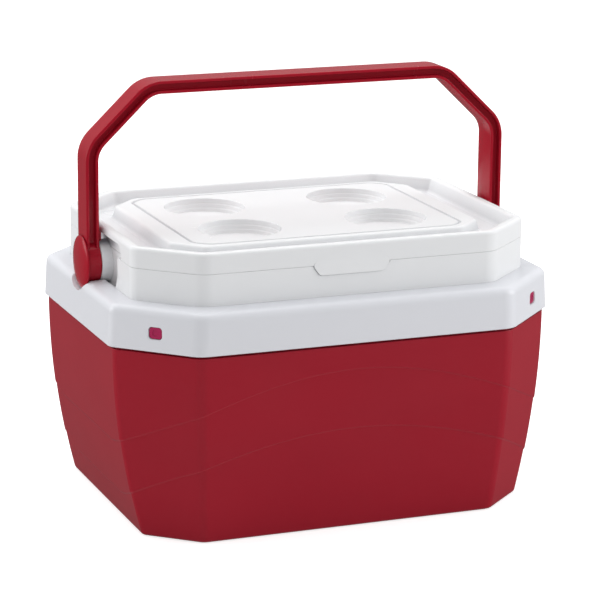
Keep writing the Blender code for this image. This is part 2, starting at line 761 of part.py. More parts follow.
def hub_profile():
    """The hub with its bore, the counterbore for the pin's head and the groove for the cap's spigot."""
    bore, counterbore = PIN_R + GAP, PIN_HEAD_R + 0.0006
    groove_in, groove_out, groove_deep = 0.0107, 0.0133, 0.0030
    return [
        (HUB_OUTER_X, HUB_R - 0.0006),
        (HUB_OUTER_X - 0.0006, HUB_R),
        (HUB_INNER_X + 0.0006, HUB_R),
        (HUB_INNER_X, HUB_R - 0.0006),
        (HUB_INNER_X, bore),
        (HUB_OUTER_X - 0.0028, bore),
        (HUB_OUTER_X - 0.0028, counterbore),
        (HUB_OUTER_X, counterbore),
        (HUB_OUTER_X, groove_in),
        (HUB_OUTER_X - groove_deep, groove_in),
        (HUB_OUTER_X - groove_deep, groove_out),
        (HUB_OUTER_X, groove_out),
        (HUB_OUTER_X, HUB_R - 0.0006),
    ]


def hub(name, side):
    return turned_on_pivot(name, hub_profile(), side, None, cutter=True)


def gusset(name, side):
    """The block on the arm's inner flange that stands just over the boss."""
    inner, shoulder, outer = (side * (ARM_X - depth) for depth in (0.0084, 0.0054, 0.0042))
    low, slant, top = PIVOT_Z + 0.0196, PIVOT_Z + 0.0265, PIVOT_Z + 0.0310
    half = 0.0095
    section = [(inner, low), (outer, low), (outer, top), (shoulder, top), (inner, slant)]
    return loft(name, [[(x, y, z) for x, z in section] for y in (-half, half)], cutter=True)


def handle():
    section = poly_curve("handle_section", handle_section(), closed=True)
    path = poly_curve("handle_path", [(p.x, p.y) for p in handle_path()], closed=False)
    path.data.bevel_mode = "OBJECT"
    path.data.bevel_object = section
    path.data.use_fill_caps = True
    path.matrix_world = Matrix.Rotation(math.pi / 2, 4, "X")
    bail = mesh_of_curve("handle", path, RED_PLASTIC, False)
    bpy.data.objects.remove(section)
    join(bail, *at_ends(hub, "hub"))
    return smooth(join(bail, *at_ends(gusset, "gusset")))


# ---------------------------------------------------------------- pivot hardware
def pivot_cap(name, side):
    """A domed cover with a ring-shaped spigot that snaps into the hub's groove."""
    dome = [
        (CAP_INNER_X + 0.0008 + (CAP_APEX_X - CAP_INNER_X - 0.0008) * math.cos(turn), CAP_R * math.sin(turn))
        for turn in (math.radians(a) for a in (0, 20, 40, 58, 74, 90))
    ]
    spigot_in, spigot_out, reach = 0.0110, 0.0130, 0.0025
    profile = dome + [
        (CAP_INNER_X, CAP_R - 0.0004),
        (CAP_INNER_X, spigot_out),
        (CAP_INNER_X - reach, spigot_out),
        (CAP_INNER_X - reach, spigot_in),
        (CAP_INNER_X, spigot_in),
        (CAP_INNER_X, 0.0),
    ]
    return smooth(turned_on_pivot(name, profile, side, RED_PLASTIC))


def pivot_pin(name, side):
    """The pin that the hub turns on, with a flat head in the hub's counterbore."""
    head_out, head_in = HUB_OUTER_X - 0.0002, HUB_OUTER_X - 0.0024
    profile = [
        (head_out, 0.0),
        (head_out, PIN_HEAD_R - 0.0005),
        (head_out - 0.0005, PIN_HEAD_R),
        (head_in, PIN_HEAD_R),
        (head_in, PIN_R),
        (PIN_INNER_X + 0.0010, PIN_R),
        (PIN_INNER_X, PIN_R - 0.0010),
        (PIN_INNER_X, 0.0),
    ]
    return smooth(turned_on_pivot(name, profile, side, WHITE_PLASTIC))


# ---------------------------------------------------------------- lid
def circle_ring(centre, radius, z, segments=40):
    turns = (2 * math.pi * i / segments for i in range(segments))
    return [(centre[0] + radius * math.cos(turn), centre[1] + radius * math.sin(turn), z) for turn in turns]


def cup_tools(name, tiers):
    """A stack of rings, given as (radius, height) pairs from the bottom up, at each cup recess."""
    return [
        loft(f"{name}_{i + 1}", [circle_ring(centre, radius, z) for radius, z in tiers], cutter=True)
        for i, centre in enumerate(CUP_CENTRES)
    ]


def cup_mouths():
    """The cup recesses: three tiers, each a little narrower than the one above it."""
    tiers = []
    for radius, floor in reversed(CUP_TIERS):
        tiers += [(radius - 0.0003, floor), (radius, floor + 0.0012)]
    return cup_tools("cup_mouth", tiers + [(CUP_TIERS[0][0], PLATFORM_Z + 0.004)])


def top_groove():
    """A ring-shaped cutter for the thin groove round the lid's platform."""
    inner = inset(GROOVE_PLAN, GROOVE_WIDTH)
    low, high = PLATFORM_Z - GROOVE_DEPTH, PLATFORM_Z + 0.002
    rings = [(GROOVE_PLAN, low), (GROOVE_PLAN, high), (inner, high), (inner, low)]
    return loft("top_groove", [level_ring(plan, z) for plan, z in rings], cutter=True, cyclic=True)


def lid_cover():
    """The lid's outer moulding: skirt, rim, gutter, platform with its cup recesses, and finger tabs."""
    gutter_out = inset(NECK_PLAN, RIM_WIDTH + 0.0045)
    gutter_in = inset(PLATFORM_PLAN, -0.0030)
    under = WALL
    cup_floor = CUP_TIERS[-1][1]
    rings = [
        level_ring(inset(PLATFORM_PLAN, 0.0030), PLATFORM_Z - under),
        level_ring(inset(gutter_in, 0.0024), GUTTER_Z - under),
        level_ring(inset(NECK_PLAN, RIM_WIDTH + 0.0030), GUTTER_Z - under),
        level_ring(inset(NECK_PLAN, RIM_WIDTH - 0.0015), LID_TOP_Z - 0.0026),
        level_ring(inset(NECK_PLAN, NECK_WALL), LID_TOP_Z - 0.0026),
        level_ring(inset(NECK_PLAN, NECK_WALL), SEAM_Z + GAP),
        level_ring(inset(NECK_PLAN, 0.0004), SEAM_Z + GAP),
        level_ring(NECK_PLAN, SEAM_Z + GAP + 0.0006),
        level_ring(NECK_PLAN, LID_TOP_Z - 0.0030),
        level_ring(inset(NECK_PLAN, 0.0009), LID_TOP_Z - 0.0009),
        level_ring(inset(NECK_PLAN, 0.0030), LID_TOP_Z),
        level_ring(inset(NECK_PLAN, RIM_WIDTH - 0.0018), LID_TOP_Z),
        level_ring(inset(NECK_PLAN, RIM_WIDTH), LID_TOP_Z - 0.0012),
        level_ring(gutter_out, GUTTER_Z),
        level_ring(gutter_in, GUTTER_Z),
        level_ring(PLATFORM_PLAN, PLATFORM_Z - 0.0020),
        level_ring(inset(PLATFORM_PLAN, 0.0007), PLATFORM_Z - 0.0006),
        level_ring(inset(PLATFORM_PLAN, 0.0024), PLATFORM_Z),
    ]
    cover = loft("lid_cover", rings, WHITE_PLASTIC)
    cup_outer = CUP_TIERS[0][0] + WALL
    join(cover, *cup_tools("cup_boss", [(cup_outer, cup_floor - WALL), (cup_outer, PLATFORM_Z - 0.0006)]))
    join(cover, *at_ends(lid_recess_block, "lid_recess_block"))
    cut(cover, *at_ends(lid_recess, "lid_recess"))
    cut(cover, *cup_mouths(), top_groove())
    face = NECK_PLAN[1]
    for side in (-1, 1):
        join(cover, tab_block("finger_tab", side, 0.0, face - 0.0010, face + TAB_PROUD, face + 0.0001))
    return smooth(cover)


def lid_recess_block(name, side):
    return recess_block(name, side, LID_RECESS_HALF, SEAM_Z + GAP + 0.0002, LID_TOP_Z - 0.0020)


def lid_recess(name, side):
    """An arch over the hub: upright sides, and a rounded top just under the lid's rim."""
    half, top = LID_RECESS_HALF, LID_RECESS_TOP_Z
    left_foot, right_foot = Vector((-half, SEAM_Z - 0.01)), Vector((half, SEAM_Z - 0.01))
    left_top, right_top = Vector((-half, top)), Vector((half, top))
    corners = [left_foot, right_foot]
    corners += rounded_corner(right_foot, right_top, left_top, LID_RECESS_CORNER_R, 5)
    corners += rounded_corner(right_top, left_top, left_foot, LID_RECESS_CORNER_R, 5)
    return end_plate(name, corners, side, RECESS_X, RECESS_OUTER_X)


def lid_plug():
    """The inner tray that closes the lid from below and reaches down into the tub's opening."""
    flange_low = SEAM_Z + GAP + 0.0002
    flange_high = flange_low + PLUG_FLANGE_THICK
    flange = inset(NECK_PLAN, 0.0103)
    wall_top = tub_plan(SEAM_Z, PLUG_CLEARANCE)
    wall_foot = tub_plan(PLUG_FLOOR_Z, PLUG_CLEARANCE + PLUG_TAPER)
    rings = [
        level_ring(inset(wall_foot, WALL + 0.003), PLUG_FLOOR_Z + WALL),
        level_ring(inset(wall_foot, WALL), PLUG_FLOOR_Z + WALL + 0.003),
        level_ring(inset(wall_top, WALL), flange_high),
        level_ring(flange, flange_high),
        level_ring(flange, flange_low),
        level_ring(wall_top, flange_low),
        level_ring(wall_foot, PLUG_FLOOR_Z + 0.003),
        level_ring(inset(wall_foot, 0.003), PLUG_FLOOR_Z),
    ]
    return smooth(loft("lid_plug", rings, WHITE_PLASTIC))


def lid_foam():
    """The insulation between the inner tray and the cover."""
    clearance = PLUG_CLEARANCE + WALL + 2 * GAP
    top_plan = tub_plan(SEAM_Z, clearance)
    foot_plan = tub_plan(PLUG_FLOOR_Z, clearance + PLUG_TAPER)
    foot_z = PLUG_FLOOR_Z + WALL + GAP
    rings = [
        level_ring(inset(foot_plan, 0.003), foot_z),
        level_ring(foot_plan, foot_z + 0.003),
        level_ring(top_plan, GUTTER_Z - WALL - GAP),
        level_ring(inset(PLATFORM_PLAN, 0.0004), GUTTER_Z - WALL - GAP),
        level_ring(inset(PLATFORM_PLAN, 0.0045), PLATFORM_Z - WALL - GAP),
    ]
    foam = loft("lid_foam", rings, FOAM)
    cup_outer = CUP_TIERS[0][0] + WALL + GAP
    cup_low = CUP_TIERS[-1][1] - WALL - GAP
    return cut(foam, *cup_tools("foam_cup", [(cup_outer, cup_low), (cup_outer, PLATFORM_Z + 0.004)]))


# ---------------------------------------------------------------- assembly
def carried(name, height, pieces):
    """An empty on a joint's axis that carries the pieces that move there, which stay where they are."""
    carrier = bpy.data.objects.new(name, None)
    carrier.location = (0, 0, height)
    PARTS.objects.link(carrier)
    for piece in pieces:
        piece.parent = carrier
        piece.matrix_parent_inverse = Matrix.Translation((0, 0, -height))


body_shell()
body_foam()
liner()
collar()
for corner, signs in CLIP_CORNERS.items():
    collar_clip(corner, signs)
at_ends(pivot_pin, "pivot_pin")
carried("handle_axis", PIVOT_Z, [handle()] + at_ends(pivot_cap, "pivot_cap"))
carried("lid_axis", SEAM_Z, [lid_cover(), lid_foam(), lid_plug()])
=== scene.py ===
"""The cooler chest's looks: fine mouldings, plastics, studio and camera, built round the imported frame.

Every visible moulding is built again at the frame's own size with rounded edges, and rides the body
of the node it stands for. The two foam pieces stay as the frame has them.
Metres, +Z up; -Y is the front.
"""

import json
import math

import bmesh
import bpy
from mathutils import Matrix, Vector

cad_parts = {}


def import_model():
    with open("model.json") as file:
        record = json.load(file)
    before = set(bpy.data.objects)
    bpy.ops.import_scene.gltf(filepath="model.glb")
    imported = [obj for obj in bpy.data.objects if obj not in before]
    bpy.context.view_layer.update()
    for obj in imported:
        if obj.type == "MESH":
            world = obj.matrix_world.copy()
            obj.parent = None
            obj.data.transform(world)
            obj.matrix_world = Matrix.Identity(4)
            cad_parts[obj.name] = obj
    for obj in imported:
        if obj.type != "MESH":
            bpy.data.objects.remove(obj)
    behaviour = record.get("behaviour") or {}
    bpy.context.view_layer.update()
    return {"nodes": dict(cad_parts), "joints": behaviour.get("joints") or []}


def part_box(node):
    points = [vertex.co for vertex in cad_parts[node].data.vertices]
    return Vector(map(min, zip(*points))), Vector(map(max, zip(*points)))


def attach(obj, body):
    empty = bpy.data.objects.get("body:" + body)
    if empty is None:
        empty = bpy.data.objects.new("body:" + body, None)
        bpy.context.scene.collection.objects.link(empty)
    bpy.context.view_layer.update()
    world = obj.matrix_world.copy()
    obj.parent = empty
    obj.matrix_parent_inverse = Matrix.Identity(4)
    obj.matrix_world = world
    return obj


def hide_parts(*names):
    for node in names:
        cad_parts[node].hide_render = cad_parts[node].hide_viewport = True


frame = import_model()

# ---------------------------------------------------------------- sizes read from the frame
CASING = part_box("body_shell")[1]
COLLAR_LOW, COLLAR_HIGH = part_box("collar")
LID_LOW, LID_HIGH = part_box("lid_cover")
HANDLE_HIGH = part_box("handle")[1]
TUB_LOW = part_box("liner")[0]
PLUG_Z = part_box("lid_plug")[0].z
CAP_LOW, CAP_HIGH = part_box("pivot_cap_right")
PIN_LOW, PIN_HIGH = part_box("pivot_pin_right")
CLIP_LOW, CLIP_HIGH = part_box("collar_clip_front_right")
PIVOT_Z = next(joint for joint in frame["joints"] if joint["name"] == "handle_swing")["pos_m"][2]

# Walls, clearances and how finely round shapes are divided
WALL = 0.0022
NECK_WALL = 0.0026
GAP = 0.0003
ARC_STEPS = 10
ROUND_STEPS = 96

# Heights
SEAM_Z = LID_HIGH.z - 0.0177
LEDGE_Z = COLLAR_LOW.z - 0.0022
COLLAR_EDGE_Z = COLLAR_LOW.z + 0.0358
NECK_FOOT_Z = COLLAR_LOW.z + 0.0372
TUB_FLOOR_Z = TUB_LOW.z + WALL
FLANGE_TOP_Z = SEAM_Z - 0.0325
GUTTER_Z = LID_HIGH.z - 0.0127
PLATFORM_Z = LID_HIGH.z - 0.0020

# Finger tabs
TAB_PROUD = 0.0014
TAB_TOP_HALF = 0.038
TAB_FOOT_HALF = 0.029
TAB_TOP_Z = LID_LOW.z + 0.0123
TAB_CORNER_R = 0.004


def plan(half_length, half_width, end_cut, side_cut, end_radius, side_radius):
    """An eight-sided outline with rounded corners. The cuts say how far its slanted corners take from
    the long faces and from the ends."""
    return (half_length, half_width, half_length - end_cut, half_width - side_cut, end_radius, side_radius)


# Plans of the mouldings, from the outside in
COLLAR_FOOT = plan(COLLAR_HIGH.x, COLLAR_HIGH.y, 0.0602, 0.0588, 0.011, 0.020)
COLLAR_HEAD = plan(COLLAR_HIGH.x - 0.0019, COLLAR_HIGH.y - 0.0003, 0.0600, 0.0586, 0.011, 0.020)
CASING_TOP = plan(CASING.x, CASING.y, 0.0580, 0.0555, 0.009, 0.016)
CASING_BASE = plan(CASING.x - 0.0223, CASING.y - 0.0144, 0.0430, 0.0381, 0.008, 0.014)
NECK = plan(LID_HIGH.x, LID_HIGH.y - TAB_PROUD, 0.0480, 0.0445, 0.014, 0.022)
OPENING = plan(NECK[0] - 0.0200, NECK[1] - 0.0162, 0.0380, 0.0350, 0.014, 0.020)
TUB_FLOOR = plan(NECK[0] - 0.0300, NECK[1] - 0.0262, 0.0350, 0.0320, 0.013, 0.018)
PLATFORM = plan(NECK[0] - 0.0380, NECK[1] - 0.0342, 0.0240, 0.0250, 0.008, 0.012)
GROOVE = plan(PLATFORM[0] - 0.0170, PLATFORM[1] - 0.0055, 0.0130, 0.0115, 0.014, 0.014)

# Waves in the casing, and the rebate that the collar covers
# (each wave: its low height, its rise, where round the casing the rise ends, and how sharply)
WAVES = ((0.0275, 0.064, 0.80, 1.15), (0.0780, 0.066, 0.78, 1.30))
WAVE_STEP = 0.0008
WAVE_LIP = 0.0012
REBATE = 0.0027

# The casing's base: the ring that it rests on, and the hollow inside the ring
FOOT_RING = 0.0200
BASE_HOLLOW = 0.0020

# Handle, hubs, caps and pins
ARM_THICK = 0.0112
ARM_X = HANDLE_HIGH.x - ARM_THICK / 2
HANDLE_DEPTH = 0.0265
HANDLE_CROWN = 0.0008
HANDLE_TOP_Z = HANDLE_HIGH.z - ARM_THICK / 2
HANDLE_CORNERS = ((ARM_X, HANDLE_TOP_Z - 0.0501), (ARM_X - 0.0521, HANDLE_TOP_Z))
HANDLE_BEND_R = 0.026
FLANGE_THICK = 0.0026
WEB_THICK = 0.0145
HUB_R = HANDLE_HIGH.y
HUB_INNER_X = 0.1830
HUB_BOSS_R = 0.0186
HUB_OUTER_X = CAP_LOW.x + 0.0017
PIN_R = 0.0050
PIN_HEAD_R = PIN_HIGH.z - PIVOT_Z
TROUGH_R = HUB_R + 0.0015
TROUGH_CLEAR_R = 0.0290
TROUGH_WALL_R = 0.0280
CAP_R = CAP_HIGH.z - PIVOT_Z
CAP_INNER_X = HUB_OUTER_X + 0.0008
SPIGOT_INNER_R = 0.0110
SPIGOT_OUTER_R = 0.0130
CAP_POCKET_R = CAP_R + 0.0012
CAP_POCKET_X = HUB_OUTER_X - 0.0006
RECESS_X = NECK[0] - 0.0070
BEYOND_X = COLLAR_HIGH.x + 0.0038

# Recesses in the end walls
NECK_RECESS_HALF = 0.052
NECK_RECESS_FOOT_HALF = 0.044
NECK_RECESS_FOOT_Z = SEAM_Z - 0.0318
NECK_RECESS_SIDE_Z = SEAM_Z - 0.0160
LID_RECESS_HALF = 0.0620
LID_RECESS_TOP_Z = LID_HIGH.z - 0.0057

# Lid
RIM_WIDTH = 0.0085
# (each tier: its radius at the top and at its foot, and how far its foot lies below the platform)
CUP_TIERS = ((0.0360, 0.0355, 0.0046), (0.0347, 0.0336, 0.0082), (0.0329, 0.0316, 0.0112))
CUP_CENTRES = ((-0.068, -0.0455), (0.068, -0.0455), (-0.068, 0.0455), (0.068, 0.0455))
CUP_FLARE = 0.0009
GROOVE_WIDTH = 0.0028
GROOVE_DEPTH = 0.0016
SEAM_GAP = 0.0001
PLUG_CLEARANCE = 0.0022
PLUG_TAPER = 0.0010

# Clips
CLIP_Z = (CLIP_LOW.z + CLIP_HIGH.z) / 2
CLIP_HEIGHT = CLIP_HIGH.z - CLIP_LOW.z
CLIP_WIDTH = 0.0119
CLIP_CORNER_R = 0.003
CLIP_SUNK = 0.0008
CLIP_HEAD_FOOT = 0.0030
SHANK_WIDTH = 0.0090
SHANK_HEIGHT = 0.0075
SHANK_FOOT = 0.0110
RIGHT_CLIPS_SHIFT = 0.0065
CLIP_CORNERS = {"front_right": (1, -1), "rear_right": (1, 1), "rear_left": (-1, 1), "front_left": (-1, -1)}


# ---------------------------------------------------------------- outlines
def blended(plan_a, plan_b, share):
    return tuple(a + (b - a) * share for a, b in zip(plan_a, plan_b))


def inset(outer, distance):
    """A plan moved inwards on every side, which keeps its slanted corners parallel."""
    half_length, half_width, long_flat, end_flat, end_radius, side_radius = outer
    slant = math.atan2(half_width - end_flat, half_length - long_flat)
    return (
        half_length - distance,
        half_width - distance,
        long_flat - distance * math.tan(slant / 2),
        end_flat - distance * math.tan((math.pi / 2 - slant) / 2),
        max(end_radius - distance, 0.002),
        max(side_radius - distance, 0.002),
    )


def rounded_corner(before, corner, after, radius, steps):
    """Points of the arc that rounds a corner of an outline, from the first side to the second."""
    into, out = (corner - before).normalized(), (after - corner).normalized()
    turn = into.angle(out)
    tangent = radius * math.tan(turn / 2)
    start, end = corner - into * tangent, corner + out * tangent
    centre = corner + (out - into).normalized() * (radius / math.cos(turn / 2))
    arms = ((start - centre).lerp(end - centre, i / steps) for i in range(steps + 1))
    return [centre + arm.normalized() * radius for arm in arms]


def divided(start, end, steps):
    return [start.lerp(end, i / steps) for i in range(steps)]


def quadrant(outer, arc_steps, flat_steps):
    """The outline from the middle of the +X end to the middle of the +Y long face."""
    half_length, half_width, long_flat, end_flat, end_radius, side_radius = outer
    start, finish = Vector((half_length, 0)), Vector((0, half_width))
    end_corner, side_corner = Vector((half_length, end_flat)), Vector((long_flat, half_width))
    arc_a = rounded_corner(start, end_corner, side_corner, end_radius, arc_steps)
    arc_b = rounded_corner(end_corner, side_corner, finish, side_radius, arc_steps)
    end_steps, slant_steps, side_steps = flat_steps
    points = divided(start, arc_a[0], end_steps) + arc_a[:-1]
    points += divided(arc_a[-1], arc_b[0], slant_steps) + arc_b[:-1]
    return points + divided(arc_b[-1], finish, side_steps) + [finish]


def all_round(items, flip):
    """A list for one quadrant, repeated round the outline. flip(item, x, y) mirrors one item."""
    loop = list(items)
    loop += [flip(item, -1, 1) for item in reversed(items[:-1])]
    loop += [flip(item, -1, -1) for item in items[1:]]
    return loop + [flip(item, 1, -1) for item in reversed(items[1:-1])]


def outline(outer, arc_steps=ARC_STEPS, flat_steps=(2, 1, 3)):
    points = quadrant(outer, arc_steps, flat_steps)
    return all_round(points, lambda point, x, y: Vector((point.x * x, point.y * y)))


def level(outer, z):
    return [Vector((point.x, point.y, z)) for point in outline(outer)]


def grown_polygon(corners, distance):
    """The corners of a convex polygon, given anticlockwise, with each side moved outwards."""
    moved = []
    for i, corner in enumerate(corners):
        into = (corner - corners[i - 1]).normalized()
        out = (corners[(i + 1) % len(corners)] - corner).normalized()
        normal_a, normal_b = Vector((into.y, -into.x)), Vector((out.y, -out.x))
        moved.append(corner + (normal_a + normal_b) * (distance / (1 + normal_a.dot(normal_b))))
    return moved


def rounded_polygon(corners, radius, grow=0.0, steps=6):
    """Points round a convex polygon with rounded corners, moved outwards by grow."""
    corners = grown_polygon([Vector(corner) for corner in corners], grow)
    points = []
    for i, corner in enumerate(corners):
        after = corners[(i + 1) % len(corners)]
        points += rounded_corner(corners[i - 1], corner, after, max(radius + grow, 0.0002), steps)
    return points


def rectangle(width, height):
    w, h = width / 2, height / 2
    return ((w, -h), (w, h), (-w, h), (-w, -h))


def circle(centre, radius, z):
    turns = (2 * math.pi * i / ROUND_STEPS for i in range(ROUND_STEPS))
    return [Vector((centre[0] + radius * math.cos(t), centre[1] + radius * math.sin(t), z)) for t in turns]


# ---------------------------------------------------------------- solids
def bend(before, corner, after, radius, share):
    """A point of the curve that rounds a corner between two neighbours."""
    into, out = before - corner, after - corner
    start = corner + into * min(radius / max(into.length, 1e-9), 0.48)
    end = corner + out * min(radius / max(out.length, 1e-9), 0.48)
    return start * (1 - share) ** 2 + corner * (2 * share * (1 - share)) + end * share**2


def softened(rings):
    """A stack of (ring, radius) pairs as plain rings: each ring with a radius becomes a rounded edge."""
    result = []
    for i, (ring, radius) in enumerate(rings):
        if not radius:
            result.append(ring)
            continue
        before, after = rings[i - 1][0], rings[(i + 1) % len(rings)][0]
        steps = 3 if radius < 0.0010 else 5
        for step in range(steps + 1):
            share = step / steps
            result.append([bend(a, b, c, radius, share) for a, b, c in zip(before, ring, after)])
    return result


def linked(name, data):
    made = bpy.data.objects.new(name, data)
    bpy.context.scene.collection.objects.link(made)
    return made


def loft(name, rings, cyclic=False):
    """A closed skin over a stack of (ring, radius) pairs with equal point counts, capped unless cyclic."""
    mesh = bmesh.new()
    rows = [[mesh.verts.new(point) for point in ring] for ring in softened(rings)]
    count = len(rows[0])
    for lower, upper in zip(rows, rows[1:] + rows[:1] if cyclic else rows[1:]):
        for i in range(count):
            j = (i + 1) % count
            mesh.faces.new((lower[i], lower[j], upper[j], upper[i]))
    if not cyclic:
        mesh.faces.new(list(reversed(rows[0])))
        mesh.faces.new(rows[-1])
    bmesh.ops.recalc_face_normals(mesh, faces=mesh.faces)
    data = bpy.data.meshes.new(name)
    mesh.to_mesh(data)
    mesh.free()
    return linked(name, data)


def slab(name, corners, radius, low, high, place, edge=0.0):
    """A rounded polygon given a thickness, with rounded rims. place(u, v, w) puts a point in the frame."""

    def ring(grow, w, soft):
        return [place(p.x, p.y, w) for p in rounded_polygon(corners, radius, grow)], soft

    if not edge:
        return loft(name, [ring(0, low, 0), ring(0, high, 0)])
    return loft(name, [ring(-edge, low, 0), ring(0, low, edge), ring(0, high, edge), ring(-edge, high, 0)])


def pocket(name, corners, radius, floor, face, beyond, place, floor_edge, mouth_edge):
    """A cutter for a recess: rounded where its walls meet the floor and where they meet the face."""

    def ring(grow, w, soft):
        return [place(p.x, p.y, w) for p in rounded_polygon(corners, radius, grow)], soft

    rings = [ring(-floor_edge, floor, 0), ring(0, floor, floor_edge), ring(0, face, mouth_edge)]
    return loft(name, rings + [ring(mouth_edge, face, 0), ring(mouth_edge, beyond, 0)])


def turned(name, profile, side):
    """A profile of (distance out from the middle, radius) pairs turned about the handle's pivot line."""
    data = bpy.data.meshes.new(name)
    points = [(radius, 0.0, out) for out, radius in profile]
    data.from_pydata(points, [(i, i + 1) for i in range(len(points) - 1)], [])
    made = linked(name, data)
    screw = made.modifiers.new("turn", "SCREW")
    screw.axis = "Z"
    screw.steps = screw.render_steps = ROUND_STEPS
    screw.use_merge_vertices = True
    screw.merge_threshold = 0.000001
    made.matrix_world = Matrix.Translation((0, 0, PIVOT_Z)) @ Matrix.Rotation(side * math.pi / 2, 4, "Y")
    return baked(made)


def rod(name, radius, side, inner, outer):
    """A cylinder on the handle's pivot line, used to cut."""
    low, high = sorted((side * inner, side * outer))
    turns = [2 * math.pi * i / ROUND_STEPS for i in range(ROUND_STEPS)]
    rings = [
        ([Vector((x, radius * math.cos(t), PIVOT_Z + radius * math.sin(t))) for t in turns], 0)
        for x in (low, high)
    ]
    return loft(name, rings)


def baked(made):
    """The object with its modifiers applied and its mesh in the frame's own coordinates."""
    bpy.context.view_layer.update()
    graph = bpy.context.evaluated_depsgraph_get()
    data = bpy.data.meshes.new_from_object(made.evaluated_get(graph))
    data.transform(made.matrix_world)
    made.modifiers.clear()
    made.data = data
    made.matrix_world = Matrix.Identity(4)
    return made


def combined(target, operation, tools):
    """The target after one Boolean for each tool. The tools are used up."""
    for tool in tools:
        modifier = target.modifiers.new(tool.name, "BOOLEAN")
        modifier.operation = operation
        modifier.solver = "EXACT"
        modifier.object = tool
    baked(target)
    for tool in tools:
        bpy.data.objects.remove(tool)
    return target


def cut(target, *tools):
    return combined(target, "DIFFERENCE", tools)


def join(target, *tools):
    return combined(target, "UNION", tools)


def both(make, *args):
    """The same piece made at the +X end and at the -X end."""
    return [make(side, *args) for side in (1, -1)]


def out_of_end(side):
    """For slabs and pockets in the end walls: u runs along Y, v runs up and w runs out of the end."""
    return lambda u, v, w: Vector((side * w, side * u, v))


def out_of_face(side):
    """For slabs on the long faces: u runs along X, v runs up and w runs out of the face."""
    return lambda u, v, w: Vector((-side * u, side * w, v))


def rods(name, radius, inner, outer):
    """A rod at each end, the +X end first."""
    return [rod(name, radius, side, inner, outer) for side in (1, -1)]


def word(side):
    return "right" if side > 0 else "left"


# ---------------------------------------------------------------- casing
CASING_ARCS = 8
CASING_FLATS = (8, 6, 22)
CASING_SKIN_LEVELS = (0.150, 0.110, 0.070, 0.035, 0.010)


def casing_plan(z, distance=0.0):
    """The casing's plan at a height: upright at the top and curving in towards the base."""
    drop = max(0.0, 1 - z / LEDGE_Z)
    return inset(blended(CASING_TOP, CASING_BASE, drop * drop), distance)


def column_shares():
    """How far each column lies from the middle of the long face, 0, to the middle of the end, 1."""
    points = quadrant(CASING_TOP, CASING_ARCS, CASING_FLATS)
    lengths = [0.0]
    for a, b in zip(points, points[1:]):
        lengths.append(lengths[-1] + (b - a).length)
    return all_round([1 - length / lengths[-1] for length in lengths], lambda share, x, y: share)


COLUMNS = column_shares()


def casing_ring(height_of, distance):
    """A ring whose height changes round the casing, as height_of(share) gives it."""
    cache = {}
    ring = []
    for i, share in enumerate(COLUMNS):
        z = height_of(share)
        if z not in cache:
            cache[z] = outline(casing_plan(z, distance), CASING_ARCS, CASING_FLATS)
        ring.append(Vector((cache[z][i].x, cache[z][i].y, z)))
    return ring


def casing_level(outer, z):
    return [Vector((point.x, point.y, z)) for point in outline(outer, CASING_ARCS, CASING_FLATS)]


def wave(low, rise, reach, power):
    """A wave's height: level round the ends, rising towards the middle of the long faces."""
    return lambda share: low + rise * math.cos(min(share / reach, 1) * math.pi / 2) ** power


def raised(height_of, lift):
    return lambda share: height_of(share) + lift


def between(lower, upper, fraction):
    return lambda share: lower(share) + (upper(share) - lower(share)) * fraction


def casing_side():
    """The casing's wavy side: three bands, each standing a step prouder than the one below it."""
    first, second = (wave(*shape) for shape in WAVES)
    bands = (
        (lambda share: 0.0, first, 2 * WAVE_STEP),
        (raised(first, WAVE_LIP), second, WAVE_STEP),
        (raised(second, WAVE_LIP), lambda share: LEDGE_Z, 0.0),
    )
    rings, parts = [], 6
    for lower, upper, depth in bands:
        for i in range(parts + 1):
            soft = 0.0006 if i in (0, parts) else 0
            rings.append((casing_ring(between(lower, upper, i / parts), depth), soft))
    rings[0] = (rings[0][0], 0.0028)
    return rings


def casing():
    """The casing: its hollowed base, its wavy side, the rebate under the collar, and its inner skin."""
    base = casing_plan(0.0, 2 * WAVE_STEP)
    rings = [
        (casing_level(inset(base, FOOT_RING + BASE_HOLLOW), BASE_HOLLOW), 0),
        (casing_level(inset(base, FOOT_RING), 0.0), 0.0008),
    ]
    rings += casing_side()
    neck = casing_plan(LEDGE_Z, REBATE)
    rings += [
        (casing_level(neck, LEDGE_Z), 0.0004),
        (casing_level(neck, CASING.z), 0.0007),
        (casing_level(inset(neck, WALL), CASING.z), 0.0007),
    ]
    skin = REBATE + WALL
    rings += [(casing_level(casing_plan(z, skin), z), 0) for z in CASING_SKIN_LEVELS]
    floor_z = BASE_HOLLOW + WALL
    floor = inset(casing_plan(floor_z, 2 * WAVE_STEP + WALL), 0.005)
    rings.append((casing_level(floor, floor_z), 0))
    shell = loft("casing", rings)
    cut(shell, *rods("casing_trough", TROUGH_CLEAR_R, RECESS_X - 0.0098, BEYOND_X))
    cut(shell, *clip_cutters(SHANK_WIDTH + 2 * GAP, SHANK_HEIGHT + 2 * GAP))
    return shell


# ---------------------------------------------------------------- tub with its neck
def tub_plan(z, distance=0.0):
    share = (SEAM_Z - z) / (SEAM_Z - TUB_FLOOR_Z)
    return inset(blended(OPENING, TUB_FLOOR, share), distance)


